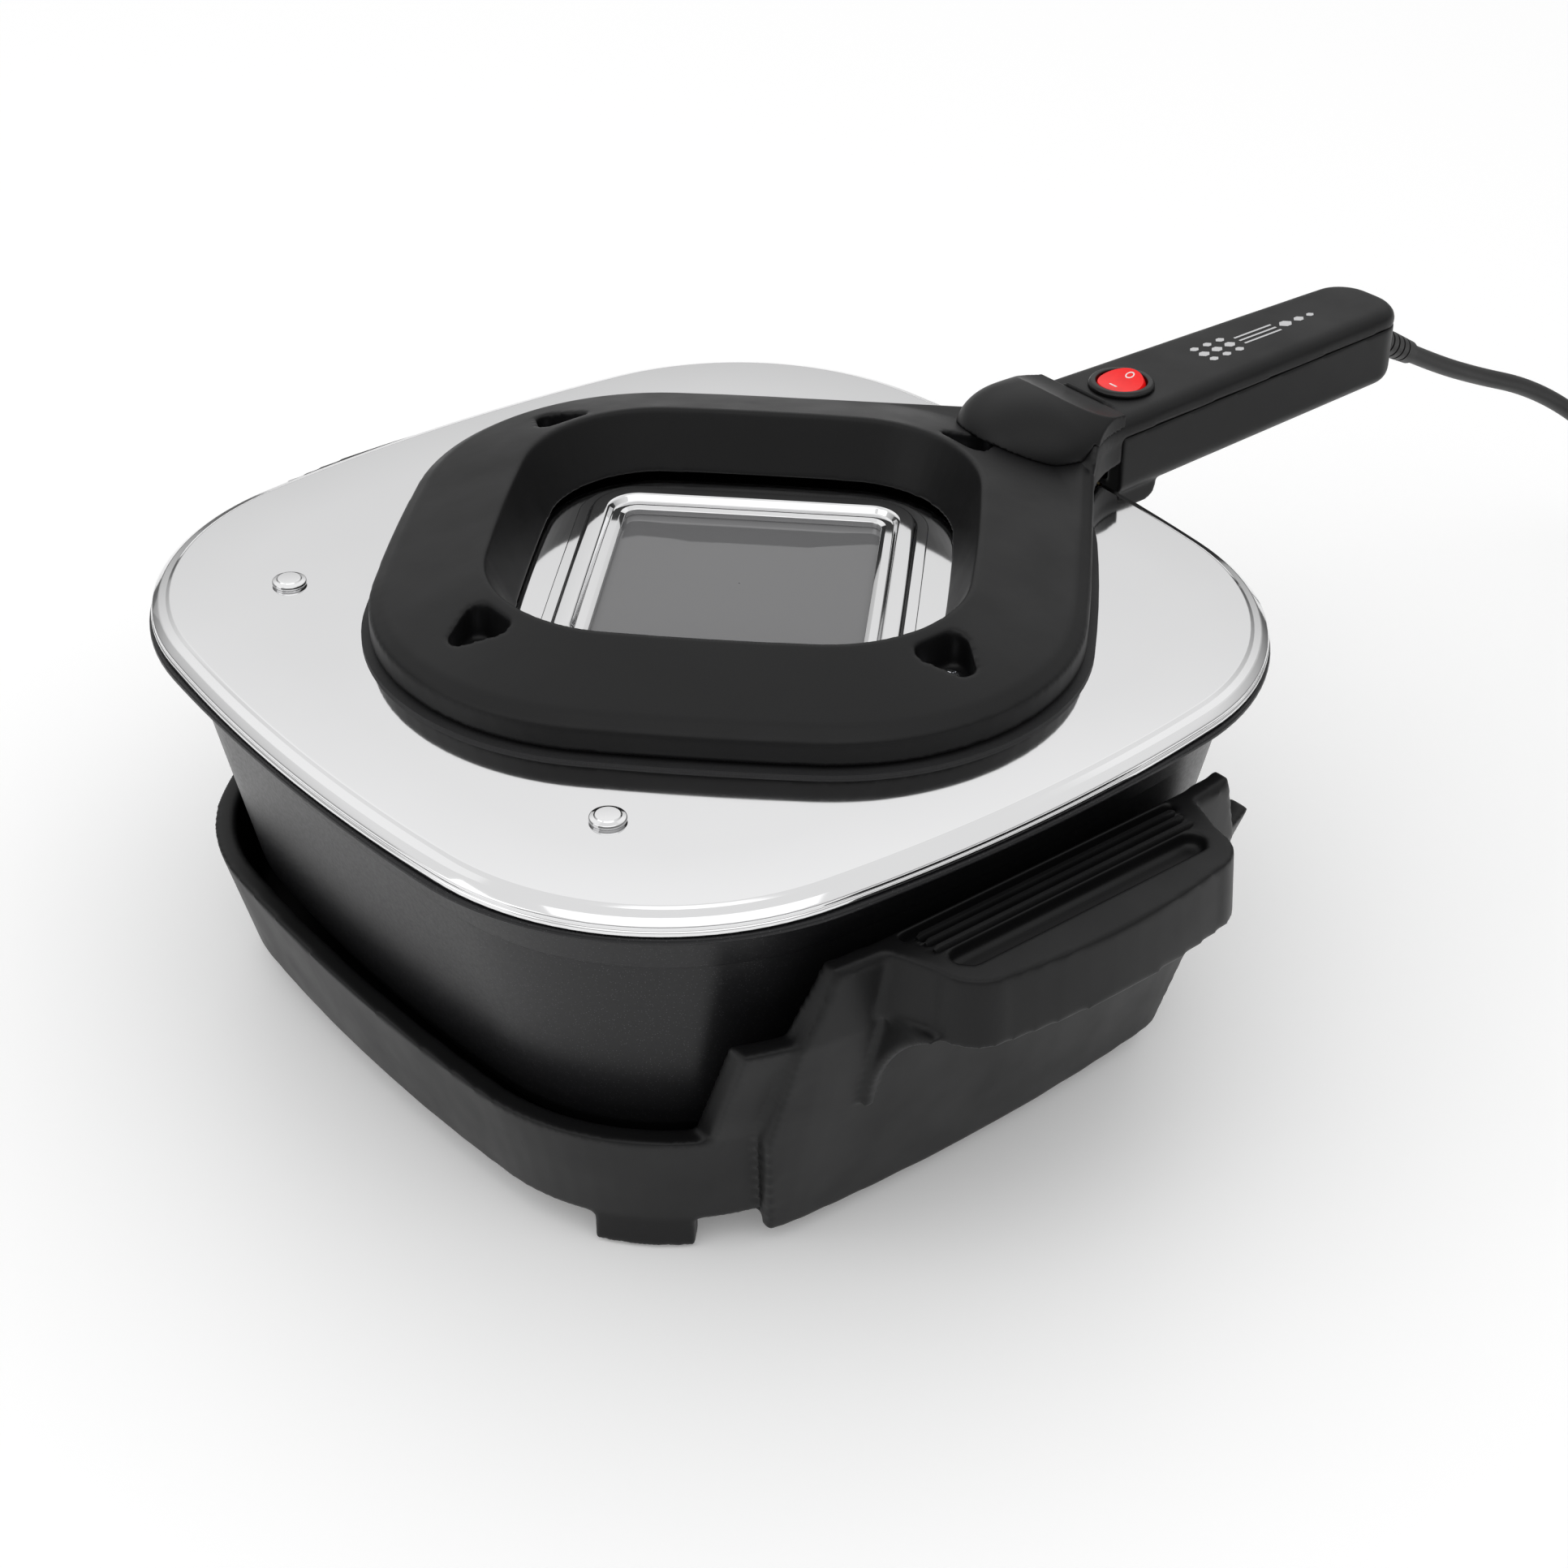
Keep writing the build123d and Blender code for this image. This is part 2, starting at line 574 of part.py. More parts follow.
neck_from = ring_half - 15.0                # the neck starts inside the ring here
neck_hollow_from = neck_from + 8.0
neck_block = neck_from - 6.0


def handle_outline(inset, root_x=neck_from):
    """Plan of neck and handle: the ring's rear sides run on and turn into the handle's."""
    side_x = head_x + math.sqrt(2) * ring_half      # where the two rear sides would meet
    slope = (handle_root_half - handle_tip_half) / (handle_end - 15 - handle_root_x)
    knee_x = (side_x - handle_root_half - slope * handle_root_x) / (1 - slope)
    knee_y = side_x - knee_x
    tip_y = handle_root_half - slope * (handle_end - handle_root_x)
    root_y = side_x - root_x
    inset_knee = inset * math.tan(math.radians(22.5))
    pts = [(root_x, root_y - inset * 1.414), (knee_x - inset_knee * 0.9, knee_y - inset),
           (handle_end - inset, tip_y - inset)]
    pts = pts + [(x, -y) for x, y in reversed(pts)]
    radii = [1.0, neck_radius + inset, tip_radius - inset * 0.6, tip_radius - inset * 0.6, neck_radius + inset, 1.0]
    return make_face(FilletPolyline(*pts, radius=radii, close=True))


def prism(face, z0, z1):
    return extrude(Pos(0, 0, z0) * face, amount=z1 - z0)


def pocket_outline(radius, turn):
    """Rounded three-sided pocket with one corner pointing away from the ring's middle."""
    return Rot(0, 0, turn) * fillet(RegularPolygon(radius, 3, major_radius=True).vertices(), radius * 0.3)


def cover_outer():
    ring = tower(RING, [(ring_low, ring_half), (ring_shoulder, ring_half - 0.3),
                        (ring_edge, ring_half - ring_edge_in)], head_x, 45)
    crown = loft([Pos(head_x, 0, ring_edge) * Rot(0, 0, 45) * soft_square(
                      ring_half - ring_edge_in, ring_corner - ring_edge_in, ring_side - ring_edge_in),
                  Pos(head_x, 0, ring_top) * Rot(0, 0, 45) * soft_square(
                      ring_eye_half, ring_eye_corner, ring_side)], ruled=True)
    return ring + crown + neck_solid(0, ring_low) + arm_solid(0)


def neck_solid(wall, low):
    """Neck with the same side and bevel as the ring; wall is the distance inside the outer skin."""
    start = neck_from if wall == 0 else neck_hollow_from
    sections = [(low, wall), (ring_shoulder - wall / 2, wall + 0.3), (ring_edge - wall, wall + ring_edge_in)]
    neck = loft([Pos(0, 0, z) * handle_outline(inset, start) for z, inset in sections], ruled=True)
    end = handle_root_x if wall == 0 else handle_root_x - handle_wall
    return neck & block((neck_block, end), (-neck_block, neck_block), (0, ring_top))


def arm_solid(wall):
    """Upper half of the handle: an upright side, a rounded shoulder and a ramp up from the neck."""
    start = neck_from if wall == 0 else neck_hollow_from
    rise, bevel = back_rise - wall, handle_bevel + wall * 0.4
    rounding = [(0.0, 0.0), (0.4, 0.09), (0.75, 0.34), (0.94, 0.66), (1.0, 1.0)]
    sections = [(handle_shoulder_z + rise * up, wall + (bevel - wall) * across) for up, across in rounding]
    back = loft([Pos(0, 0, z) * handle_outline(inset, start) for z, inset in sections], ruled=True)
    low = handle_split_z if wall == 0 else handle_split_z - 1
    arm = prism(handle_outline(wall, start), low, handle_shoulder_z) + back
    foot = hump_x - 1 + 2 * wall
    top = handle_top_z + 1
    ramp = make_face(Polyline((foot, low), (foot, handle_shoulder_z - wall), (foot + 2 * back_rise, top),
                              (handle_end + 5, top), (handle_end + 5, low), close=True))
    return arm & extrude(Plane.XZ * ramp, amount=2 * handle_root_half, both=True)


def cover_hollow():
    w = cover_wall
    ring = tower(RING, [(ring_low - 1, ring_half - w), (ring_edge - w, ring_half - ring_edge_in - w * 0.4)],
                 head_x, 45)
    crown = loft([Pos(head_x, 0, ring_edge - w) * Rot(0, 0, 45) * soft_square(
                      ring_half - ring_edge_in - w * 0.4, ring_corner - ring_edge_in - w * 0.4, ring_side),
                  Pos(head_x, 0, ring_top - w) * Rot(0, 0, 45) * soft_square(
                      ring_eye_half, ring_eye_corner, ring_side)], ruled=True)
    eye = tower(EYE, [(ring_low - 2, ring_eye_half - ring_eye_taper + w),
                      (ring_top + 1, ring_eye_half + w)], head_x, 45)
    return (ring + crown - eye) + neck_solid(w, ring_low - 1) + arm_solid(w)


def eye_cut():
    return tower(EYE, [(ring_low - 3, ring_eye_half - ring_eye_taper - 1.5), (ring_top + 1, ring_eye_half + 0.4)],
                 head_x, 45)


def make_cover():
    outer = cover_outer()
    cover = outer - cover_hollow() - eye_cut()
    for index, (x, y) in enumerate(cover_at):
        turn = 90 * index
        cup = prism(Pos(x, y, 0) * pocket_outline(pocket_radius + pocket_wall, turn), ring_low, ring_top) & outer
        cover = cover + cup - prism(Pos(x, y, 0) * pocket_outline(pocket_radius, turn), pocket_floor_z, ring_top + 1)
        cover = cover - disc(2.2, ring_low - 1, pocket_floor_z + 1, x, y)
        cover = cover - disc(4.0 + fit, ring_low - 1, lid_top + 6, x, y)
    cover = cover - disc(switch_body_radius + 0.15, handle_split_z - 20, handle_top_z + 2, switch_x, 0)
    for x in handle_screws_x:
        cover = cover + disc(boss_radius, boss_low, handle_top_z - 2, x, 0)
        cover = cover - disc(1.5 + touch, boss_low - 1, boss_low + 12, x, 0)
    cover = cover - gland_bore() - wire_way()
    fence_x = switch_x - fence_back
    blade = make_face(Polyline((-fence_half, handle_top_z - 1), (fence_half, handle_top_z - 1), (fence_half, handle_top_z),
                               (fence_half - 4, handle_top_z + fence_rise),
                               (4 - fence_half, handle_top_z + fence_rise), (-fence_half, handle_top_z), close=True))
    blade = extrude(Plane.YZ * blade, amount=fence_thick)
    cover = cover + Pos(fence_x - fence_thick, 0, 0) * blade
    cover = cover - block((fence_x, fence_x + fence_slot), (2 - fence_half, fence_half - 2),
                          (handle_top_z - 1.2, handle_top_z + 1))
    keep("upper_housing", cover)

    ring = tower(RING, [(lid_top, ring_half + spacer_out), (lid_top + spacer_tall, ring_half + spacer_out)],
                 head_x, 45)
    ring = ring - tower(RING, [(lid_top - 1, ring_half - spacer_wide), (lid_top + 3, ring_half - spacer_wide)],
                        head_x, 45)
    for x, y in cover_at:
        ring = ring - disc(4.0 + fit, lid_top - 1, lid_top + 3, x, y)
    ring = ring - block((neck_from + 4, 2 * ring_half), (-45, 45), (lid_top - 1, lid_top + 3))
    keep("insulating_ring", ring)

    studs, screws = [], []
    for x, y in cover_at:
        stud = disc(4.0, lid_top, lid_top + 5.5, x, y) - disc(2.0 + touch, lid_top + 0.8, lid_top + 7, x, y)
        studs.append(stud)
        head = disc(5.2, pocket_floor_z, pocket_floor_z + 2.8, x, y)
        head = fillet(head.edges().group_by(Axis.Z)[-1], 1.2)
        cross = block((x - 3, x + 3), (y - 0.5, y + 0.5), (pocket_floor_z + 1.2, pocket_floor_z + 3))
        cross = cross + block((x - 0.5, x + 0.5), (y - 3, y + 3), (pocket_floor_z + 1.2, pocket_floor_z + 3))
        screws.append(head - cross + disc(2.0, lid_top + 1.2, pocket_floor_z + 0.5, x, y))
    keep("cover_studs", *studs)
    keep("cover_screws", *screws)


def make_hump():
    long, wide, tall = hump_size
    base = ring_edge - hump_sink
    high = handle_top_z + 2 * tall
    end_x = switch_x - fence_back - fence_thick - fit
    ridge = Vector(hump_x + 2, 0, base + tall)
    run = Vector(end_x, 0, handle_top_z + hump_foot_rise) - ridge
    out = Vector(-run.Z, 0, run.X).normalized() * math.sqrt(saddle_radius ** 2 - (run.length / 2) ** 2)
    middle = ridge + run * 0.5 + out
    front = Pos(hump_x, 0, base) * scale(Sphere(1.0), by=(long, wide, tall))
    front = front & block((hump_x - 2 * long, hump_x), (-2 * wide, 2 * wide), (ring_edge, high))
    rear = Pos(hump_x, 0, base) * scale(Sphere(1.0), by=(hump_rear_long, wide, tall))
    rear = rear & block((hump_x, end_x), (-2 * wide, 2 * wide), (ring_edge, high))
    rear = rear - Pos(middle.X, 0, middle.Z) * Rot(90, 0, 0) * Cylinder(saddle_radius, 4 * wide)
    cover = cover_outer()
    gauge = prism(handle_outline(0.4), ring_edge - 1, high)
    skin = ((front - cover) & gauge) + ((rear - cover) & gauge)
    for pocket_x, pocket_y in cover_at[:1]:
        skin = skin - disc(6.0, 0, pocket_floor_z + 4, pocket_x, pocket_y)
    keep("hump_cover", max(skin.solids(), key=lambda s: s.volume))


def wire_way():
    """Opening between the neck and the handle for the wires."""
    x = handle_root_x
    return block((x - 4, x + 4), (-14, 14), (handle_low_z + 5, handle_split_z + 2))


def gland_bore():
    return Pos(handle_end, 0, gland_z) * Rot(0, 90, 0) * Cylinder(5.2, 12)


def make_handle_bottom():
    low, w = handle_low_z, handle_wall
    x0 = handle_root_x + 0.3
    span = block((x0, handle_end + 5), (-60, 60), (low, handle_split_z))
    body = prism(handle_outline(0), low, handle_split_z) & span
    long_low = body.edges().group_by(Axis.Z)[0].filter_by(lambda e: e.length > 8 and e.center().X > x0 + 1)
    body = fillet(long_low, 6.0)
    stub = block(stub_x, (-handle_root_half + 3, handle_root_half - 3), (stub_low_z, low + 8))
    stub = fillet(stub.edges().filter_by(Axis.Y).group_by(Axis.Z)[0], 5.0)
    body = body + stub
    hollow = prism(handle_outline(w), low + w, handle_split_z + 1) & block(
        (x0 + w, handle_end), (-60, 60), (0, ring_top + 40))
    hollow_edges = hollow.edges().group_by(Axis.Z)[0].filter_by(lambda e: e.length > 8 and e.center().X > x0 + w + 1)
    hollow = fillet(hollow_edges, 4.0)
    body = body - hollow
    for x in handle_screws_x:
        body = body + disc(boss_radius, low + 1, boss_low - 0.1, x, 0)
        body = body - disc(1.8, low - 1, boss_low, x, 0) - disc(3.4, low - 1, low + 3, x, 0)
    for y in (-clamp_screw_y, clamp_screw_y):
        body = body + (disc(2.6, low + 1, low + 6, clamp_x, y)) - disc(1.2, low + 3, low + 7, clamp_x, y)
    body = body - gland_bore() - wire_way()
    keep("handle_bottom", body)
    screws = []
    for x in handle_screws_x:
        head = disc(2.9, low + 0.4, low + 3, x, 0)
        screws.append(head + disc(1.5, low + 2.9, boss_low + 10, x, 0))
    keep("handle_screws", *screws)


def make_switch():
    top = handle_top_z
    bezel = disc(switch_bezel_radius, top, top + 2.0, switch_x, 0)
    bezel = chamfer(bezel.edges().group_by(Axis.Z)[-1], 0.9)
    body = bezel + disc(switch_body_radius, top - 13, top + 0.5, switch_x, 0)
    well = disc(rocker_radius + rocker_gap, top - 8.0, top + 3, switch_x, 0)
    body = body - well
    keep("switch_body", body)
    blades = [block((switch_x + dx - 0.4, switch_x + dx + 0.4), (-3.2, 3.2), (top - 20.0, top - 13)) for dx in (-5, 0, 5)]
    keep("switch_terminals", *blades)
    pivot_z = top - 2.0
    rocker = Pos(switch_x, 0, pivot_z) * (Cylinder(rocker_radius, 16) & Box(40, 40, 9.4))
    bowl = Pos(switch_x, 0, pivot_z + 27.5) * Rot(90, 0, 0) * Cylinder(24.0, 40)
    rocker = (Pos(0, 0, 2.6) * rocker) - bowl
    rocker = rocker & (Pos(switch_x, 0, pivot_z) * Sphere(rocker_radius + 0.25))
    rocker = Pos(switch_x, 0, pivot_z) * Rot(0, -rocker_tilt, 0) * Pos(-switch_x, 0, -pivot_z) * rocker
    keep("switch_rocker", rocker)


# ---------------------------------------------------------------- inside the neck and handle


def make_inner_parts():
    z = lid_top
    therm_x = terminal_x - 12
    therm = disc(7.5, z, z + 6, therm_x, 32) + block((therm_x - 12, therm_x + 12), (29, 35), (z, z + 0.8))
    keep("thermostat", therm)
    keep("thermal_fuse", Pos(terminal_x + 8, 0, z + 7) * Rot(90, 0, 0) * Cylinder(2.0, 12))
    block_x = terminal_x + 17.5
    blk = block((block_x - 5.5, block_x + 5.5), (-13, 13), (z + 3.0, z + 10))
    for y in (-8, 0, 8):
        blk = blk - Pos(block_x, y, z + 7) * Rot(0, 90, 0) * Cylinder(2.4, 12)
        blk = blk - disc(1.8, z + 8, z + 13, block_x, y)
    keep("terminal_block", blk)
    r = 1.1
    root, low, join_x = handle_root_x, handle_low_z, clamp_x - 16
    keep("wire_live", tube([(block_x, -8, z + 7), (root - 6, -8, z + 7), (root + 4, -6.5, low + 7.5),
                            (switch_x - 5.8, -1.5, low + 7.5)], [4, 3], r))
    keep("wire_neutral", tube([(block_x, 8, z + 7), (root - 6, 8, z + 7), (root + 6, 11, low + 5.5),
                               (root + 34, 11, low + 5.5), (join_x, 4, gland_z)], [4, 4, 20], r))
    keep("wire_switch", tube([(switch_x + 5.6, -1.5, low + 7.5), (switch_x + 19, -9, low + 6.5),
                              (switch_x + 41, -9, low + 6.5), (join_x, -3, gland_z)], [8, 20], r))
    cord_from, cord_to = join_x + 0.8, handle_end - 6
    cord_in = Pos((cord_from + cord_to) / 2, 0, gland_z) * Rot(0, 90, 0) * Cylinder(cord_radius, cord_to - cord_from)
    keep("cord_inner", cord_in)
    bar = block((clamp_x - 4, clamp_x + 4), (-12, 12), (gland_z - 1, gland_z + cord_radius + 2.5))
    bar = bar - Pos(clamp_x, 0, gland_z) * Rot(0, 90, 0) * Cylinder(cord_radius + touch, 20)
    for y in (-clamp_screw_y, clamp_screw_y):
        bar = bar - disc(1.4, low, handle_top_z, clamp_x, y)
    keep("cord_clamp", bar)
    screws = []
    for y in (-clamp_screw_y, clamp_screw_y):
        top = gland_z + cord_radius + 2.5
        screws.append(disc(2.3, top, top + 1.8, clamp_x, y) + disc(1.1, handle_low_z + 4.5, top + 0.5, clamp_x, y))
    keep("clamp_screws", *screws)


# ---------------------------------------------------------------- lead

exit_x = handle_end + 3.0
slope_x = math.cos(math.radians(gland_slope))
slope_z = -math.sin(math.radians(gland_slope))
turn_gap = 2 * cord_radius
lay_z = cord_radius + lay_gap
coil_height = coil_turns_high * turn_gap + turn_gap / 2 - 2 * coil_skin


def along_gland(distance):
    """Point on the sleeve's axis, so far from where the lead leaves the handle."""
    return exit_x + distance * slope_x, 0.0, gland_z + distance * slope_z


# route of the free stretch, laid by hand: down from the handle and along the table
cord_route = [along_gland(gland_long), along_gland(gland_straight), (383.0, -0.8, 99.2), (410.0, -3.0, 88.3),
              (434.0, -7.5, 74.0), (455.0, -14.5, 56.0), (471.0, -24.0, 38.0), (482.5, -37.0, 22.5),
              (489.0, -53.0, 10.4), (491.7, -70.5, 4.2), (coil_x + coil_radius + turn_gap / 2, coil_entry_y, lay_z)]


def route_radii(points):
    """Largest arc that each pair of runs allows."""
    radii = []
    for before, at, after in zip(points, points[1:], points[2:]):
        run_in = Vector(*at) - Vector(*before)
        run_out = Vector(*after) - Vector(*at)
        turn = run_in.get_angle(run_out)
        shorter = min(run_in.length, run_out.length)
        radii.append(0.45 * shorter / math.tan(math.radians(turn) / 2))
    return radii


def make_gland():
    start = Vector(exit_x, 0, gland_z)
    along = Plane(origin=start, z_dir=(slope_x, 0, slope_z))
    collar = Pos(handle_end + 1.5, 0, gland_z) * Rot(0, 90, 0) * Cylinder(gland_radius, 3.0)
    neck = Pos(handle_end - 2.9, 0, gland_z) * Rot(0, 90, 0) * Cylinder(5.0, 6.2)
    heel = Pos(exit_x, 0, gland_z) * Sphere(5.4)
    cone = loft([along * Circle(5.4), along * Pos(0, 0, gland_long) * Circle(cord_radius + 0.9)])
    boot = collar + neck + heel + cone
    for step in (6.0, 10.0, 14.0, 18.0):
        boot = boot - along * Pos(0, 0, step) * (Cylinder(7.5, 1.0) - Cylinder(cord_radius + 0.8, 1.2))
    keep("strain_relief", boot)


def make_lead():
    points = [Vector(*p) for p in cord_route]
    radii = route_radii(cord_route)
    print("cord arc radii:", [round(r, 1) for r in radii])
    cord = tube(points, radii, cord_radius)
    path = FilletPolyline(*points, radius=radii)
    print("cord tube: volume %.0f, section x length %.0f, length %.1f" % (
        cord.volume, math.pi * cord_radius ** 2 * path.length, path.length))
    keep("power_cord", cord)

    half_wide = turn_gap + coil_skin
    section = Plane.XZ * Pos(coil_radius, coil_height / 2) * RectangleRounded(2 * half_wide, coil_height, coil_round)
    coil = Pos(coil_x, coil_y, 0) * revolve(section, axis=Axis.Z)
    in_x = coil_x + coil_radius + turn_gap / 2
    lead_in = Pos(in_x, (coil_y + coil_entry_y) / 2, lay_z) * Rot(90, 0, 0) * Cylinder(
        cord_radius, coil_entry_y - coil_y)
    tail_y = coil_y - coil_radius - turn_gap / 2
    tail_z = plug_radius
    lead_out = Pos((coil_x + tail_x) / 2, tail_y, tail_z) * Rot(0, 90, 0) * Cylinder(cord_radius, coil_x - tail_x)
    band = half_wide - tie_bite
    outside = block((coil_radius - band - tie_thick, coil_radius + band + tie_thick), (-tie_wide / 2, tie_wide / 2),
                    (0, coil_height - tie_bite + tie_thick))
    inside = block((coil_radius - band, coil_radius + band), (-tie_wide, tie_wide),
                   (tie_thick, coil_height - tie_bite))
    tie = Pos(coil_x, coil_y, 0) * Rot(0, 0, tie_turn) * (outside - inside)
    keep("cord_coil", coil + lead_in + lead_out - tie)
    keep("cord_tie", tie)
    make_plug(Plane(origin=(tail_x, tail_y, tail_z), z_dir=(-1, 0, 0)))


def make_plug(axis):
    """Moulded two-pin plug; the axis runs from the lead's end towards the pins."""
    ends = [(0.0, cord_radius + 0.8), (plug_boot_long, plug_boot_radius),
            (plug_boot_long + plug_shoulder_long, plug_barrel_radius)]
    cones = [loft([axis * Pos(0, 0, at) * Circle(r), axis * Pos(0, 0, to) * Circle(r2)])
             for (at, r), (to, r2) in zip(ends, ends[1:])]
    barrel_at = ends[-1][0]
    flange_at = barrel_at + plug_barrel_long
    face_at = flange_at + plug_flange_long
    body = cones[0] + cones[1]
    body = body + axis * Pos(0, 0, barrel_at + plug_barrel_long / 2) * Cylinder(plug_barrel_radius, plug_barrel_long)
    body = body + axis * Pos(0, 0, flange_at + plug_flange_long / 2) * Cylinder(plug_radius, plug_flange_long)
    pins = []
    for side in (-pin_apart / 2, pin_apart / 2):
        place = axis * Pos(*side_step(axis, side), face_at)
        blade = place * Pos(0, 0, pin_long / 2) * Cylinder(pin_radius, pin_long)
        tip = blade.faces().sort_by(Axis.X)[0].edges()
        shank = place * Pos(0, 0, -pin_root / 2) * Cylinder(pin_shank_radius, pin_root)
        pins.append(fillet(tip, pin_radius / 2) + shank)
        body = body - place * Pos(0, 0, -pin_root / 2) * Cylinder(pin_shank_radius + touch, pin_root + 0.2)
    keep("plug_body", body)
    keep("plug_pins", *pins)


def side_step(axis, side):
    """Offset in the axis plane's own directions that moves a pin sideways along the table."""
    return side * axis.x_dir.Y, side * axis.y_dir.Y


make_stand()
make_pan()
make_lid()
make_window()
make_element()
make_cover()
make_hump()
make_handle_bottom()
make_switch()
make_inner_parts()
make_gland()
make_lead()

os.makedirs("parts", exist_ok=True)
for name, shape in nodes.items():
    export_step(shape, os.path.join("parts", name + ".step"))
    print("%-18s %10.0f mm3, %d solid(s)" % (name, shape.volume, len(shape.solids())))
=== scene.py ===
"""Looks of a square electric pan: heated lid with a handle, lift-out bowl, plastic stand and lead.

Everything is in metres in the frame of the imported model: the origin is on the table under the
middle of the bowl, +Z is up and +X runs along the handle.
"""

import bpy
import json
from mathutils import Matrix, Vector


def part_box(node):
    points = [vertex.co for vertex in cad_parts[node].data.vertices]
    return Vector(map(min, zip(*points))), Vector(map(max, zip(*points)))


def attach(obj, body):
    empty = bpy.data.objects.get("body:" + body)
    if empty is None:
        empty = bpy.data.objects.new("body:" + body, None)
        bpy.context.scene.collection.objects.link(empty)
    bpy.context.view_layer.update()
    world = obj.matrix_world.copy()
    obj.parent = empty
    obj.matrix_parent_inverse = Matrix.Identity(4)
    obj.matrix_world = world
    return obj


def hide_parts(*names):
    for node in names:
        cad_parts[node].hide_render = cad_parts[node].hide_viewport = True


bl_info = {
    "name": "Square electric pan",
    "version": (1, 0, 0),
    "blender": (4, 5, 0),
    "location": "3D View > Sidebar > Pan",
    "description": "Builds the visible pieces of a lid-heated electric pan round its CAD frame",
    "category": "Object",
}

import json
import math

import bmesh
import bpy
from bpy.props import FloatProperty, FloatVectorProperty, IntProperty, PointerProperty
from mathutils import Matrix, Vector

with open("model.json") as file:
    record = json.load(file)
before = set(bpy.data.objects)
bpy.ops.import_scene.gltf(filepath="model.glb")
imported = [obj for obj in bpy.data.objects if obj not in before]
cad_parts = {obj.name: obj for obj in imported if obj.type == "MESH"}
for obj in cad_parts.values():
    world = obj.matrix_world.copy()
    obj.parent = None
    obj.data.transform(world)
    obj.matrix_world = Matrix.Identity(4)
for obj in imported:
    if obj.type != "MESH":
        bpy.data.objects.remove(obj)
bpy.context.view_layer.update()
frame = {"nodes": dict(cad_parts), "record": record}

MM = 0.001

# ---------------------------------------------------------------- places read from the frame
lid_low, lid_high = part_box("lid_shell")
pan_low, pan_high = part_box("pan_bowl")
glass_low, glass_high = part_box("window_glass")
frame_low, frame_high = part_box("window_frame")
bezel_low, bezel_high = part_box("switch_body")
grip_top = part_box("stand_shell")[1].z
plug_low, plug_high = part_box("plug_body")

head_x = (glass_low.x + glass_high.x) / 2
switch_x = (bezel_low.x + bezel_high.x) / 2
lid_top = lid_high.z
back_z = bezel_high.z - 2 * MM      # the handle's back
wall_y = lid_high.x - 3.5 * MM      # a grip's inner edge

# outlines of the bowed squares: half width, corner radius and side radius of each family
LID = (150 * MM, 85 * MM, 560 * MM)
PAN = (143 * MM, 82 * MM, 640 * MM)
GLASS = (50 * MM, 12 * MM, 6000 * MM)
SIDE_STEPS = 20
CORNER_STEPS = 24
EIGHTH = (SIDE_STEPS + CORNER_STEPS) // 2
DIAGONAL = math.pi / 4


# ---------------------------------------------------------------- settings
class PanLidSettings(bpy.types.PropertyGroup):
    polish: FloatProperty(name="Polish", description="Roughness of the polished steel",
                          default=0.07, min=0.0, max=1.0)
    steel: FloatVectorProperty(name="Steel", description="Colour of the polished steel",
                               subtype="COLOR", size=3, default=(0.8, 0.8, 0.805), min=0.0, max=1.0)
    crease: FloatProperty(name="Crease", description="Depth of the crease inside the rolled edge",
                          default=0.7 * MM, unit="LENGTH")


class PanPlasticSettings(bpy.types.PropertyGroup):
    black: FloatVectorProperty(name="Black", description="Colour of the moulded plastic", subtype="COLOR",
                               size=3, default=(0.005, 0.005, 0.0053), min=0.0, max=1.0)
    grain: FloatProperty(name="Grain", description="Pitch of the moulded texture", default=0.35 * MM,
                         unit="LENGTH")
    voxel: FloatProperty(name="Skin", description="Fineness of the moulded skins", default=0.9 * MM,
                         unit="LENGTH")
    passes: IntProperty(name="Softening", description="Smoothing passes over the moulded edges",
                        default=5, min=0)


class PanLeadSettings(bpy.types.PropertyGroup):
    diameter: FloatProperty(name="Diameter", description="Diameter of the lead", default=7 * MM,
                            unit="LENGTH")
    turns: FloatProperty(name="Turns", description="Turns in the coil", default=5.25)
    per_turn: IntProperty(name="Points", description="Spline points in each turn", default=16, min=12)


# ---------------------------------------------------------------- materials
def start_material(name):
    material = bpy.data.materials.new(name)
    material.use_nodes = True
    tree = material.node_tree
    return material, tree, tree.nodes["Principled BSDF"]


def object_noise(tree, pitch, detail=2.0):
    place = tree.nodes.new("ShaderNodeTexCoord")
    noise = tree.nodes.new("ShaderNodeTexNoise")
    noise.inputs["Scale"].default_value = 1.0 / pitch
    noise.inputs["Detail"].default_value = detail
    tree.links.new(place.outputs["Object"], noise.inputs["Vector"])
    return noise


def ramp_between(tree, source, low, high, at=(0.3, 0.7)):
    """Maps a texture between two values or two colours."""
    ramp = tree.nodes.new("ShaderNodeValToRGB")
    ends = ramp.color_ramp.elements
    for end, place, value in zip(ends, at, (low, high)):
        end.position = place
        end.color = (*value, 1.0) if hasattr(value, "__len__") else (value, value, value, 1.0)
    tree.links.new(source, ramp.inputs["Fac"])
    return ramp


def add_bump(tree, shader, source, strength, height):
    bump = tree.nodes.new("ShaderNodeBump")
    bump.inputs["Strength"].default_value = strength
    bump.inputs["Distance"].default_value = height
    tree.links.new(source, bump.inputs["Height"])
    tree.links.new(bump.outputs["Normal"], shader.inputs["Normal"])


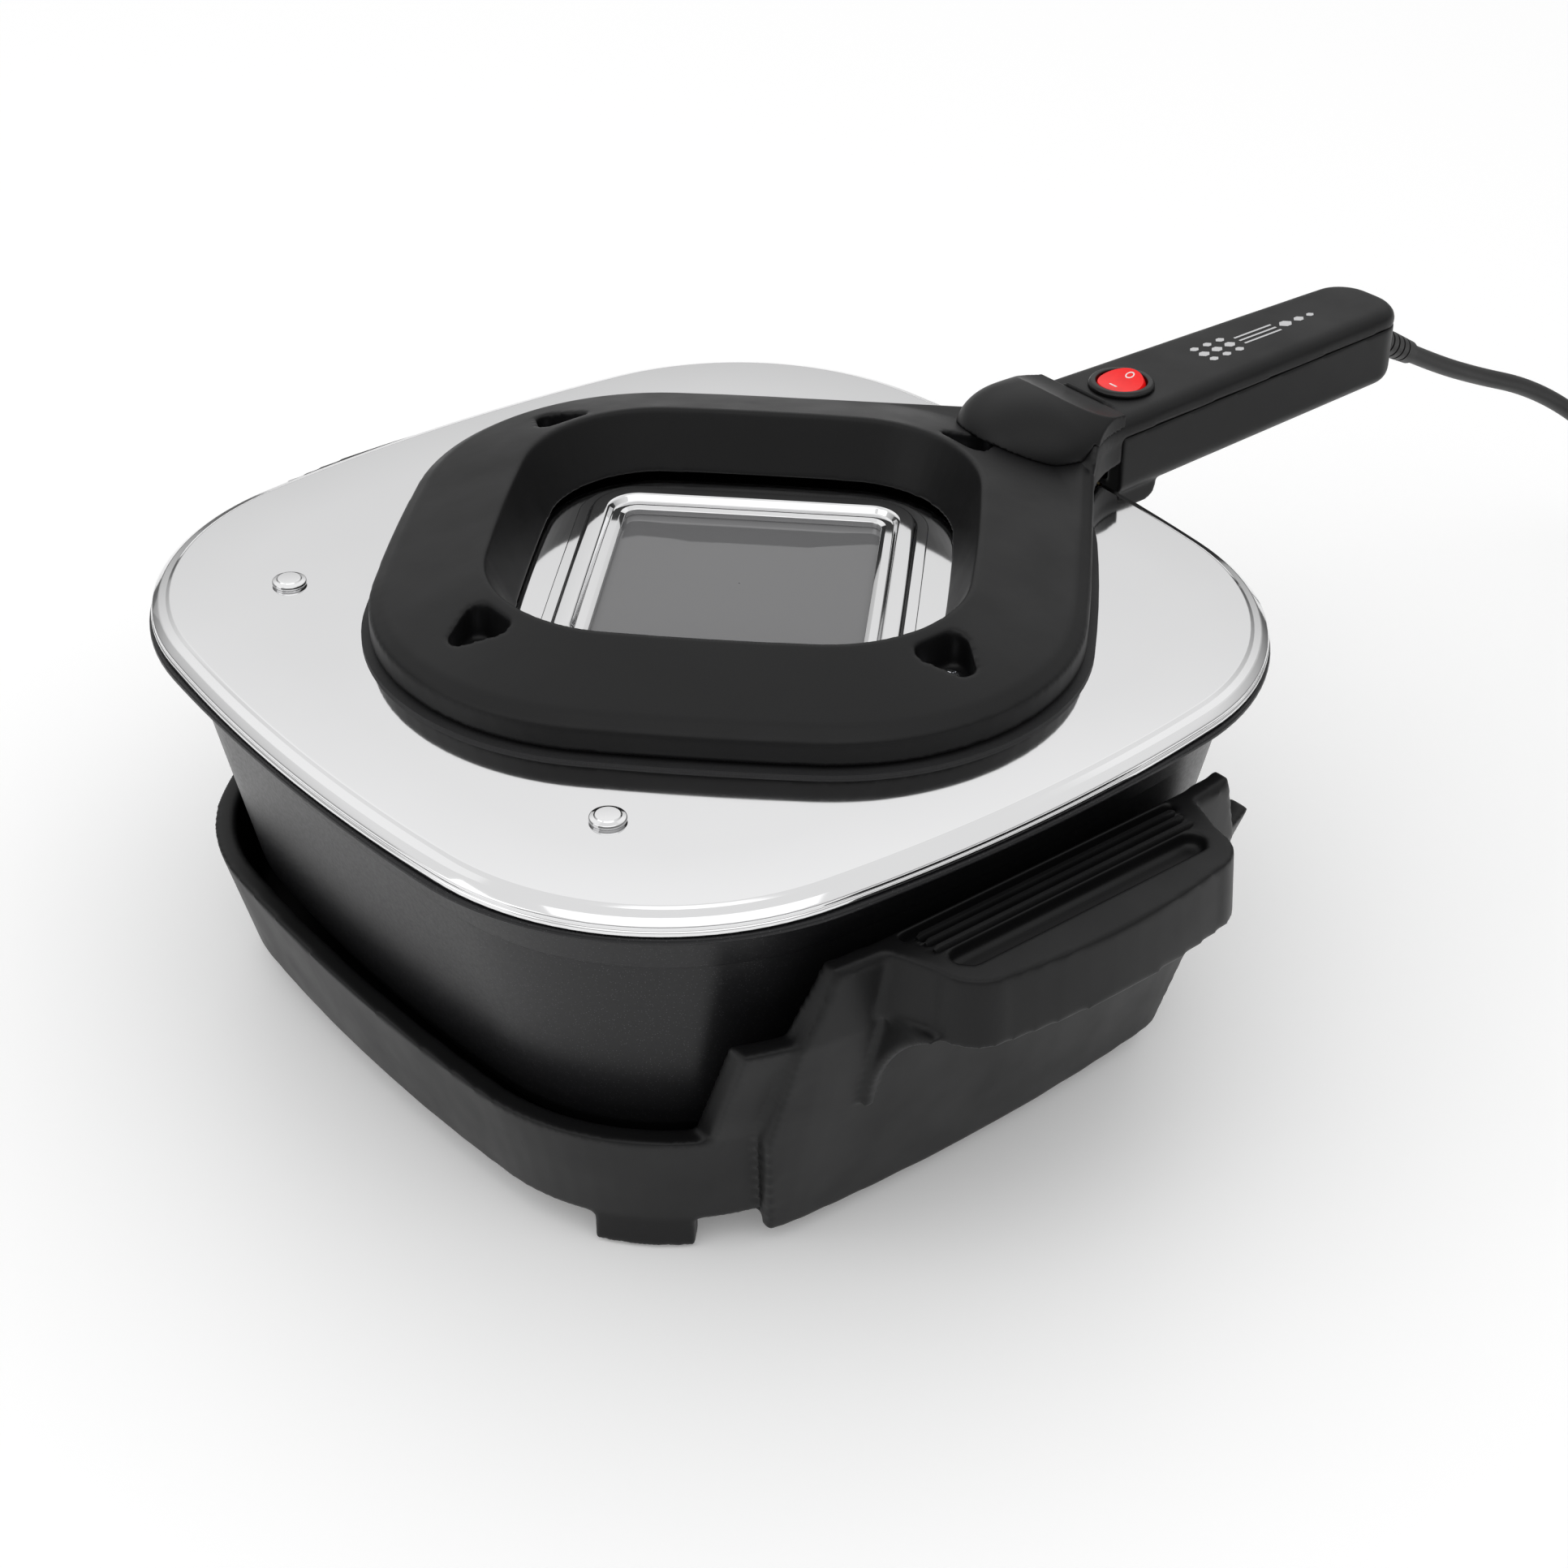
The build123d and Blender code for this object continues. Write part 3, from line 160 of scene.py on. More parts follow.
def moulded(name, colour, rough, grain, bump=0.25, specular=0.5):
    """Moulded plastic or rubber: fine grain in the surface and slow changes of gloss."""
    material, tree, shader = start_material(name)
    fine = object_noise(tree, grain)
    slow = object_noise(tree, 22 * MM, 3.0)
    gloss = ramp_between(tree, slow.outputs["Fac"], rough - 0.04, rough + 0.05)
    tone = ramp_between(tree, fine.outputs["Fac"], [c * 0.85 for c in colour], [c * 1.2 for c in colour])
    tree.links.new(gloss.outputs["Color"], shader.inputs["Roughness"])
    tree.links.new(tone.outputs["Color"], shader.inputs["Base Color"])
    shader.inputs["Specular IOR Level"].default_value = specular
    add_bump(tree, shader, fine.outputs["Fac"], bump, 0.04 * MM)
    return material


def metal(name, colour, rough, pitch, bump=0.02):
    """Bare metal: its gloss and tone change slowly over the given pitch."""
    material, tree, shader = start_material(name)
    shader.inputs["Metallic"].default_value = 1.0
    noise = object_noise(tree, pitch, 3.0)
    gloss = ramp_between(tree, noise.outputs["Fac"], max(rough - 0.02, 0.0), rough + 0.02)
    tone = ramp_between(tree, noise.outputs["Fac"], [c * 0.97 for c in colour], colour)
    tree.links.new(gloss.outputs["Color"], shader.inputs["Roughness"])
    tree.links.new(tone.outputs["Color"], shader.inputs["Base Color"])
    if bump:
        add_bump(tree, shader, noise.outputs["Fac"], bump, 0.05 * MM)
    return material


def nonstick_coating():
    """Dark sprayed coating with fine bright flakes."""
    material, tree, shader = start_material("nonstick_coating")
    place = tree.nodes.new("ShaderNodeTexCoord")
    flakes = tree.nodes.new("ShaderNodeTexVoronoi")
    flakes.inputs["Scale"].default_value = 1.0 / (0.8 * MM)
    tree.links.new(place.outputs["Object"], flakes.inputs["Vector"])
    tone = ramp_between(tree, flakes.outputs["Distance"], (0.10, 0.10, 0.105), (0.012, 0.012, 0.013),
                        (0.04, 0.2))
    tree.links.new(tone.outputs["Color"], shader.inputs["Base Color"])
    orange_peel = object_noise(tree, 1.3 * MM, 2.0)
    gloss = ramp_between(tree, orange_peel.outputs["Fac"], 0.3, 0.38)
    tree.links.new(gloss.outputs["Color"], shader.inputs["Roughness"])
    shader.inputs["Metallic"].default_value = 0.2
    shader.inputs["Specular IOR Level"].default_value = 0.35
    add_bump(tree, shader, orange_peel.outputs["Fac"], 0.12, 0.04 * MM)
    return material


def smoked_glass():
    """Dark toughened glass with a faint haze."""
    material, tree, shader = start_material("smoked_glass")
    shader.inputs["Base Color"].default_value = (0.27, 0.27, 0.275, 1.0)
    shader.inputs["Transmission Weight"].default_value = 0.45
    shader.inputs["IOR"].default_value = 1.5
    haze = object_noise(tree, 30 * MM, 2.0)
    gloss = ramp_between(tree, haze.outputs["Fac"], 0.02, 0.05)
    tree.links.new(gloss.outputs["Color"], shader.inputs["Roughness"])
    return material


def lit_red():
    """Clear red plastic with a lamp behind it."""
    material, tree, shader = start_material("lit_red")
    swirl = object_noise(tree, 6 * MM, 2.0)
    tone = ramp_between(tree, swirl.outputs["Fac"], (0.66, 0.002, 0.003), (0.82, 0.005, 0.005))
    tree.links.new(tone.outputs["Color"], shader.inputs["Base Color"])
    shader.inputs["Roughness"].default_value = 0.14
    shader.inputs["Coat Weight"].default_value = 0.1
    shader.inputs["Specular IOR Level"].default_value = 0.25
    shader.inputs["Emission Color"].default_value = (1.0, 0.01, 0.01, 1.0)
    shader.inputs["Emission Strength"].default_value = 0.22
    return material


finishes = {}


def make_finishes(settings):
    """Fills the table of finishes; the keys are the material slots of the CAD nodes."""
    black = tuple(settings.pan_plastic.black)
    grain = settings.pan_plastic.grain
    steel = tuple(settings.pan_lid.steel)
    polish = settings.pan_lid.polish
    finishes.update({
        "black_plastic": moulded("black_plastic", black, 0.42, grain, 0.25, 0.25),
        "black_gloss": moulded("black_gloss", (0.006, 0.006, 0.006), 0.26, grain, 0.08, 0.35),
        "rubber": moulded("foot_rubber", (0.02, 0.02, 0.02), 0.75, 0.5 * MM, 0.4, 0.3),
        "silicone": moulded("silicone", (0.02, 0.02, 0.021), 0.6, 0.4 * MM, 0.2, 0.4),
        "nonstick": nonstick_coating(),
        "polished_steel": metal("polished_steel", steel, polish, 90 * MM, bump=0.0),
        "aluminised_steel": metal("aluminised_steel", (0.62, 0.62, 0.61), 0.38, 2 * MM, bump=0.15),
        "smoked_glass": smoked_glass(),
        "plated_steel": metal("plated_steel", (0.66, 0.67, 0.7), 0.25, 1.5 * MM, bump=0.06),
        "element_sheath": metal("element_sheath", (0.16, 0.15, 0.14), 0.5, 3 * MM, bump=0.1),
        "ceramic": moulded("ceramic", (0.8, 0.78, 0.72), 0.6, 0.6 * MM, 0.15),
        "brass": metal("brass", (0.75, 0.58, 0.28), 0.3, 1.5 * MM, bump=0.05),
        "wire_brown": moulded("wire_brown", (0.16, 0.07, 0.03), 0.42, 0.8 * MM, 0.08),
        "wire_blue": moulded("wire_blue", (0.03, 0.08, 0.32), 0.42, 0.8 * MM, 0.08),
        "cord_rubber": moulded("cord_rubber", (0.014, 0.014, 0.014), 0.48, 0.6 * MM, 0.25),
        "tie_plastic": moulded("tie_plastic", (0.02, 0.02, 0.02), 0.3, 1.0 * MM, 0.05),
        "nickel": metal("nickel", (0.72, 0.7, 0.66), 0.16, 1.2 * MM, bump=0.04),
        "red_translucent": lit_red(),
        "silver_print": metal("silver_print", (0.74, 0.74, 0.75), 0.34, 0.6 * MM, bump=0.05),
        "white_mark": moulded("white_mark", (0.9, 0.86, 0.84), 0.4, 1.0 * MM, 0.05),
    })


# ---------------------------------------------------------------- mesh helpers
def soft_square(half, family, centre=(0.0, 0.0), turn=0.0):
    """Points of a bowed square, anticlockwise; an index is the same place at every size."""
    half0, corner0, side0 = family
    corner, side = corner0 + half - half0, side0 + half - half0
    lift, reach = side - half, side - corner
    middle = (math.sqrt(2 * reach ** 2 - lift ** 2) - lift) / 2
    join = math.atan2(middle, middle + lift)
    points = []
    for quarter in range(4):
        base = quarter * math.pi / 2 + turn
        bend = math.pi / 2 - 2 * join
        side_angles = [join * (2 * i / SIDE_STEPS - 1) for i in range(SIDE_STEPS)]
        corner_angles = [join + bend * i / CORNER_STEPS for i in range(CORNER_STEPS)]
        local = [(side * math.cos(a) - lift, side * math.sin(a)) for a in side_angles]
        local += [(middle + corner * math.cos(a), middle + corner * math.sin(a)) for a in corner_angles]
        c, s = math.cos(base), math.sin(base)
        points += [(centre[0] + x * c - y * s, centre[1] + x * s + y * c) for x, y in local]
    return points


def soften(profile, steps=5, closed=True):
    """Rounds a profile's corners; each corner is (across, height, radius)."""
    out = []
    count = len(profile)
    for i, (x, z, radius) in enumerate(profile):
        at = Vector((x, z))
        if radius <= 0 or (not closed and i in (0, count - 1)):
            out.append((x, z))
            continue
        before = Vector(profile[i - 1][:2]) - at
        after = Vector(profile[(i + 1) % count][:2]) - at
        angle = before.angle(after)
        cut = min(radius / math.tan(angle / 2), 0.49 * before.length, 0.49 * after.length)
        start, end = at + before.normalized() * cut, at + after.normalized() * cut
        for k in range(steps + 1):
            t = k / steps
            p = start.lerp(at, t).lerp(at.lerp(end, t), t)
            out.append((p.x, p.y))
    return out


def skin(rings, closed=True):
    """Vertices and faces through rings of points; the last ring runs on to the first where closed."""
    count = len(rings[0])
    verts = [p for ring in rings for p in ring]
    faces = []
    for r in range(len(rings) if closed else len(rings) - 1):
        a, b = r * count, ((r + 1) % len(rings)) * count
        faces += [(a + i, a + (i + 1) % count, b + (i + 1) % count, b + i) for i in range(count)]
    return verts, faces


def swept(profile, family, centre=(0.0, 0.0), turn=0.0):
    """Rings of a bowed square that follow a profile of (half width, height)."""
    return [[(x, y, z) for x, y in soft_square(half, family, centre, turn)] for half, z in profile]


def turned(profile, steps=48):
    """Rings of a round piece that follow a profile of (radius, height)."""
    angles = [2 * math.pi * i / steps for i in range(steps)]
    return [[(r * math.cos(a), r * math.sin(a), z) for a in angles] for r, z in profile]


def capped(rings):
    """Vertices and faces of an open run of rings with a cap on each end."""
    verts, faces = skin(rings, closed=False)
    count = len(rings[0])
    return verts, faces + [tuple(range(count)), tuple(range(len(verts) - count, len(verts)))]


def solid_mesh(name, verts, faces, angle):
    """Closed mesh with its faces outward and its edges sharp above the angle in degrees."""
    bm = bmesh.new()
    made = [bm.verts.new(v) for v in verts]
    for face in faces:
        bm.faces.new([made[i] for i in face])
    bmesh.ops.remove_doubles(bm, verts=bm.verts, dist=0.002 * MM)
    bmesh.ops.recalc_face_normals(bm, faces=bm.faces)
    mesh = bpy.data.meshes.new(name)
    bm.to_mesh(mesh)
    bm.free()
    mesh.shade_smooth()
    mesh.set_sharp_from_angle(angle=math.radians(angle))
    return mesh


def placed(name, data):
    """New object in the scene."""
    made = bpy.data.objects.new(name, data)
    bpy.context.scene.collection.objects.link(made)
    return made


def baked(carrier):
    """Plain mesh of an object with its modifiers applied; the object itself is removed."""
    bpy.context.view_layer.update()
    depsgraph = bpy.context.evaluated_depsgraph_get()
    mesh = bpy.data.meshes.new_from_object(carrier.evaluated_get(depsgraph))
    bpy.data.objects.remove(carrier)
    return mesh


def settle(name, mesh, finish, body, replaces=()):
    """Gives a mesh its finish, its body and the CAD nodes that it stands for."""
    made = placed(name, mesh)
    mesh.materials.clear()
    mesh.materials.append(finishes[finish])
    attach(made, body)
    if replaces:
        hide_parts(*replaces)
    return made


def piece(name, verts, faces, finish, body, replaces=(), slot=None, angle=32):
    return settle(name, solid_mesh(name, verts, faces, angle), finish, body, replaces)


def moulded_copy(node, name, finish, body, voxel, passes, most=170000):
    """Copy of a CAD node, softened all over as it leaves a mould, with at most so many triangles."""
    rough = placed(name + "_rough", frame["nodes"][node].data.copy())
    remesh = rough.modifiers.new("Skin", "REMESH")
    remesh.mode = "VOXEL"
    remesh.voxel_size = voxel
    remesh.use_smooth_shade = True
    smooth = rough.modifiers.new("Soften", "SMOOTH")
    smooth.factor = 0.5
    smooth.iterations = passes
    dense = baked(rough)
    triangles = 2 * len(dense.polygons)
    thin = placed(name + "_thin", dense)
    fewer = thin.modifiers.new("Fewer", "DECIMATE")
    fewer.ratio = min(1.0, most / triangles)
    result = baked(thin)
    result.shade_smooth()
    return settle(name, result, finish, body, (node,))


def revolved(name, profile):
    """Closed round mesh from a profile that starts and ends beside the axis."""
    return solid_mesh(name, *capped(turned(profile)), 50)


def slab(name, outline, thick):
    """Thin plate with the given outline in millimetres; its top is at zero."""
    rings = [[(x * MM, y * MM, z) for x, y in outline] for z in (-thick, 0.0)]
    return solid_mesh(name, *capped(rings), 30)


def scatter_tree():
    """Node tree that puts a copy of a mesh on every point, each with its own size."""
    tree = bpy.data.node_groups.new("copies_on_points", "GeometryNodeTree")
    inputs = {"Points": "Geometry", "Copy": "Object", "Scale": "Float", "Finish": "Material"}
    for name, kind in inputs.items():
        tree.interface.new_socket(name=name, in_out="INPUT", socket_type="NodeSocket" + kind)
    tree.interface.new_socket(name="Geometry", in_out="OUTPUT", socket_type="NodeSocketGeometry")
    start, end = tree.nodes.new("NodeGroupInput"), tree.nodes.new("NodeGroupOutput")
    info = tree.nodes.new("GeometryNodeObjectInfo")
    points = tree.nodes.new("GeometryNodeMeshToPoints")
    size = tree.nodes.new("GeometryNodeInputNamedAttribute")
    size.data_type = "FLOAT"
    size.inputs["Name"].default_value = "size"
    times = tree.nodes.new("ShaderNodeMath")
    times.operation = "MULTIPLY"
    copies = tree.nodes.new("GeometryNodeInstanceOnPoints")
    real = tree.nodes.new("GeometryNodeRealizeInstances")
    finish = tree.nodes.new("GeometryNodeSetMaterial")
    link = tree.links.new
    link(start.outputs["Points"], points.inputs["Mesh"])
    link(start.outputs["Copy"], info.inputs["Object"])
    link(points.outputs["Points"], copies.inputs["Points"])
    link(info.outputs["Geometry"], copies.inputs["Instance"])
    link(size.outputs["Attribute"], times.inputs[0])
    link(start.outputs["Scale"], times.inputs[1])
    link(times.outputs["Value"], copies.inputs["Scale"])
    link(copies.outputs["Instances"], real.inputs["Geometry"])
    link(real.outputs["Geometry"], finish.inputs["Geometry"])
    link(start.outputs["Finish"], finish.inputs["Material"])
    link(finish.outputs["Geometry"], end.inputs["Geometry"])
    return tree


def scattered(name, places, copy, finish, body, replaces=(), sizes=None):
    """Piece made of copies of a mesh on the given places; sizes holds each copy's own scale."""
    tree = bpy.data.node_groups.get("copies_on_points") or scatter_tree()
    pattern = placed(name + "_pattern", copy)
    points = bpy.data.meshes.new(name + "_points")
    points.from_pydata(places, [], [])
    size = points.attributes.new("size", "FLOAT", "POINT")
    for row, value in zip(size.data, sizes or [1.0] * len(places)):
        row.value = value
    carrier = placed(name + "_carrier", points)
    nodes = carrier.modifiers.new("Copies", "NODES")
    nodes.node_group = tree
    inputs = {item.name: item.identifier for item in tree.interface.items_tree if item.in_out == "INPUT"}
    nodes[inputs["Copy"]] = pattern
    nodes[inputs["Scale"]] = 1.0
    nodes[inputs["Finish"]] = finishes[finish]
    carrier.update_tag()
    mesh = baked(carrier)
    mesh.name = name
    bpy.data.objects.remove(pattern)
    return settle(name, mesh, finish, body, replaces)


# ---------------------------------------------------------------- operators
class PAN_OT_camera(bpy.types.Operator):
    """Camera at a three-quarter view from above"""
    bl_idname = "pan.camera"
    bl_label = "Camera"

    def execute(self, context):
        data = bpy.data.cameras.new("camera")
        data.sensor_width = 36.0
        data.lens = 64.94
        camera = placed("camera", data)
        right = Vector((0.77591, -0.63079, 0.00824))
        up = Vector((0.34119, 0.43060, 0.83557))
        back = Vector((-0.53062, -0.64551, 0.54933))
        turn = Matrix((right, up, back)).transposed().to_4x4()
        stand_point = (-0.473838, -0.615581, 0.574004)
        camera.matrix_world = Matrix.Translation(stand_point) @ turn
        context.scene.camera = camera
        return {"FINISHED"}


class PAN_OT_lead(bpy.types.Operator):
    """Mains lead from the sleeve to the plug, with its spare length coiled"""
    bl_idname = "pan.lead"
    bl_label = "Lead"

    def execute(self, context):
        lead = context.scene.pan_lead
        radius = lead.diameter / 2
        exit_x, exit_z, slope = 0.316, 0.134, math.radians(29.0)
        sleeve_end, straight_end = 0.024, 0.046
        along = [(exit_x + d * math.cos(slope), 0.0, exit_z - d * math.sin(slope))
                 for d in (sleeve_end, straight_end)]
        hanging = [(0.383, -0.0008, 0.0992), (0.410, -0.003, 0.0883), (0.434, -0.0075, 0.074),
                   (0.455, -0.0145, 0.056), (0.471, -0.024, 0.038), (0.4825, -0.037, 0.0225),
                   (0.489, -0.053, 0.0104), (0.4917, -0.0705, 0.0042), (0.492, -0.088, 0.0037),
                   (0.492, -0.106, 0.0037)]
        points = along + hanging + self.coil(lead, radius)
        curve = bpy.data.curves.new("lead", "CURVE")
        curve.dimensions = "3D"
        spline = curve.splines.new("NURBS")
        spline.points.add(len(points) - 1)
        for point, place in zip(spline.points, points):
            point.co = (*place, 1.0)
        spline.order_u = 3
        spline.use_endpoint_u = True
        spline.resolution_u = 8
        curve.bevel_depth = radius
        curve.bevel_resolution = 6
        curve.use_fill_caps = True
        curve.materials.append(finishes["cord_rubber"])
        made = placed("mains_lead", curve)
        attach(made, "lid")
        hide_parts("power_cord", "cord_coil")
        return {"FINISHED"}

    @staticmethod
    def coil(lead, radius):
        """Turns lie beside and on each other: out, in, in, out and out again on top."""
        middle_x, middle_y, mean = 0.4535, -0.124, 0.035
        gap = 0.2 * MM
        low = radius + gap
        rise = lead.diameter + gap
        apart = 1.02                # the two columns stand this many radii each side of the mean
        stay = 0.72                 # share of a turn before it moves over to its next place
        columns = [1, -1, -1, 1, 1, 1]
        levels = [0, 0, 1, 1, 2, 2]
        steps = round(lead.turns * lead.per_turn)
        points = []
        for i in range(1, steps + 1):
            turns = i / lead.per_turn
            ring = min(int(turns), len(columns) - 2)
            blend = min(max((turns - ring - stay) / (1 - stay), 0.0), 1.0)
            blend = blend * blend * (3 - 2 * blend)
            side = columns[ring] + (columns[ring + 1] - columns[ring]) * blend
            level = levels[ring] + (levels[ring + 1] - levels[ring]) * blend
            angle = -2 * math.pi * turns
            out = mean + side * radius * apart
            points.append((middle_x + out * math.cos(angle), middle_y + out * math.sin(angle),
                           low + level * rise))
        tail_y, tail_z = (plug_low.y + plug_high.y) / 2, (plug_low.z + plug_high.z) / 2
        return points + [(x, tail_y, tail_z) for x in (0.438, 0.424, 0.400)]


class PAN_OT_lid(bpy.types.Operator):
    """Polished lid with its crease and rolled edge"""
    bl_idname = "pan.lid"
    bl_label = "Lid"

    def execute(self, context):
        edge, low, top = lid_high.x, lid_low.z, lid_top
        sheet, drop = 0.8 * MM, context.scene.pan_lid.crease
        outer = soften([
            (edge - 30 * MM, top, 0), (edge - 6.2 * MM, top, 1.0 * MM),
            (edge - 5.0 * MM, top - drop, 1.2 * MM), (edge - 2.6 * MM, top - drop - 0.7 * MM, 2.4 * MM),
            (edge - 0.2 * MM, low + 3.2 * MM, 1.6 * MM), (edge - 0.5 * MM, low + 1.9 * MM, 0.5 * MM),
            (edge, low + 1.5 * MM, 0.7 * MM), (edge, low, 0.7 * MM),
            (edge - 1.6 * MM, low, 0.7 * MM), (edge - 1.6 * MM, low + 1.6 * MM, 0.3 * MM),
            (edge - 1.2 * MM, low + 3.0 * MM, 1.2 * MM), (edge - 3.4 * MM, top - drop - 1.6 * MM, 1.6 * MM),
            (edge - 6.4 * MM, top - sheet, 1.0 * MM), (edge - 30 * MM, top - sheet, 0)], closed=False)
        rings = swept(outer, LID)
        hole_half = (frame_high.x - frame_low.x) / 2 * 0.6
        hole = soft_square(hole_half, GLASS, (head_x, 0.0), DIAGONAL)
        hole = hole[-EIGHTH:] + hole[:-EIGHTH]
        rings = [[(x, y, top) for x, y in hole]] + rings + [[(x, y, top - sheet) for x, y in hole]]
        piece("lid", *skin(rings), "polished_steel", "lid", ("lid_shell",), angle=50)
        return {"FINISHED"}


class PAN_OT_window(bpy.types.Operator):
    """Polished frame with a raised bead round the glass"""
    bl_idname = "pan.window"
    bl_label = "Window"

    def execute(self, context):
        top, seen, glass = lid_top, 42.3 * MM, glass_high.z
        profile = soften([
            (seen + 15.5 * MM, top + 0.9 * MM, 0.5 * MM), (seen + 11.8 * MM, top + 0.9 * MM, 0.6 * MM),
            (seen + 10.8 * MM, top + 2.9 * MM, 1.3 * MM), (seen + 5.6 * MM, top + 3.1 * MM, 1.3 * MM),
            (seen + 4.2 * MM, top + 0.9 * MM, 0.8 * MM), (seen + 1.6 * MM, top + 0.9 * MM, 0.5 * MM),
            (seen, top + 0.2 * MM, 0.5 * MM), (seen, glass, 0.2 * MM),
            (seen + 0.8 * MM, glass, 0.2 * MM), (seen + 1.0 * MM, top - 0.1 * MM, 0.2 * MM),
            (seen + 15.5 * MM, top, 0)])
        rings = swept(profile, GLASS, (head_x, 0.0), DIAGONAL)
        piece("window_surround", *skin(rings), "polished_steel", "lid", ("window_frame",), angle=50)
        half, low, pinhole = GLASS[0], glass_low.z, 0.2 * MM
        edges = soften([(pinhole, glass, 0), (half, glass, 0.6 * MM), (half, low, 0.6 * MM),
                        (pinhole, low, 0)], closed=False)
        outline = [[(x, y, z) for x, y in self.shrunk(across, half)] for across, z in edges]
        piece("glass_pane", *skin(outline), "smoked_glass", "lid", ("window_glass",))
        return {"FINISHED"}

    @staticmethod
    def shrunk(half, full):
        """The pane's outline scaled down as a whole, corners and all."""
        share = half / full
        ring = soft_square(full, GLASS, turn=DIAGONAL)
        return [(head_x + x * share, y * share) for x, y in ring]


class PAN_OT_bowl(bpy.types.Operator):
    """Deep bowl with a step under its rim"""
    bl_idname = "pan.bowl"
    bl_label = "Bowl"

    def execute(self, context):
        rim, top, under = pan_high.x, pan_high.z, pan_low.z
        step = top - 18 * MM
        side = PAN[0]
        base = side - 14 * MM
        profile = soften([
            (base - 12 * MM, under, 0), (base - 5 * MM, under, 3 * MM), (base, under + 9 * MM, 7 * MM),
            (side, step, 0.4 * MM), (side + 1.4 * MM, step + 0.6 * MM, 0.6 * MM),
            (rim - 7.0 * MM, top - 5.0 * MM, 2.5 * MM), (rim - 1.2 * MM, top - 2.4 * MM, 0.8 * MM),
            (rim, top - 1.4 * MM, 0.7 * MM), (rim - 0.2 * MM, top, 0.8 * MM),
            (rim - 9.0 * MM, top, 2.0 * MM), (side - 3 * MM, step, 3 * MM),
            (base - 4.5 * MM, under + 11 * MM, 9 * MM), (base - 14 * MM, under + 4 * MM, 4 * MM),
            (base - 30 * MM, under + 4 * MM, 0)], closed=False)
        rings = swept(profile, PAN)
        middle = 0.02               # the base and the floor close in to this share of their width
        ends = [[(x * middle, y * middle, z) for x, y, z in ring] for ring in (rings[0], rings[-1])]
        rings = [ends[0]] + rings + [ends[1]]
        piece("bowl", *capped(rings), "nonstick", "pan", ("pan_bowl",), angle=50)
        return {"FINISHED"}


class PAN_OT_mouldings(bpy.types.Operator):
    """Plastic mouldings with rounded edges: stand, cover, handle and hump"""
    bl_idname = "pan.mouldings"
    bl_label = "Mouldings"

    def execute(self, context):
        plastic = context.scene.pan_plastic
        voxel, passes = plastic.voxel, plastic.passes
        moulded_copy("stand_shell", "stand", "black_plastic", "stand", voxel * 1.1, passes + 2, 190000)
        moulded_copy("upper_housing", "cover_and_handle", "black_plastic", "lid", voxel, passes)
        moulded_copy("handle_bottom", "handle_lower_half", "black_plastic", "lid", voxel * 0.8, passes,
                     60000)
        moulded_copy("switch_body", "switch_bezel", "black_gloss", "lid", voxel * 0.3, 4, 30000)
        moulded_copy("hump_cover", "hump", "black_plastic", "lid", voxel * 0.45, passes, 60000)
        return {"FINISHED"}


class PAN_OT_carried(bpy.types.Operator):
    """Finishes for the CAD nodes that keep their own shape"""
    bl_idname = "pan.carried"
    bl_label = "Carried nodes"

    def execute(self, context):
        slots = {row["node"]: row["material_slot"] for row in frame["record"]["subparts"]}
        for name, node in frame["nodes"].items():
            node.data.materials.clear()
            node.data.materials.append(finishes[slots[name]])
        return {"FINISHED"}


class PAN_OT_rivets(bpy.types.Operator):
    """Domed rivets on the lid, one on each point"""
    bl_idname = "pan.rivets"
    bl_label = "Rivets"

    def execute(self, context):
        low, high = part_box("bracket_rivets")
        radius, tall, shank, lift, pinhole = 5.5 * MM, 2.3 * MM, 2.0 * MM, 0.02 * MM, 0.05 * MM
        tail, under = 3.4 * MM, low.z - lid_top
        places = [(high.x - radius, side * (high.y - radius), lid_top) for side in (-1, 1)]
        head = revolved("rivet_head", soften([
            (pinhole, tall, 0), (3.6 * MM, tall, 0.5 * MM), (4.0 * MM, 1.8 * MM, 0.4 * MM),
            (5.3 * MM, 1.5 * MM, 0.5 * MM), (radius, 0.7 * MM, 0.3 * MM), (5.1 * MM, lift, 0.1 * MM),
            (shank, lift, 0.1 * MM), (shank, under + 1.5 * MM, 0.1 * MM),
            (tail, under + 1.4 * MM, 0.2 * MM), (tail, under, 0.3 * MM),
            (pinhole, under, 0)], closed=False))
        scattered("rivets", places, head, "polished_steel", "lid", replaces=("bracket_rivets",))
        return {"FINISHED"}


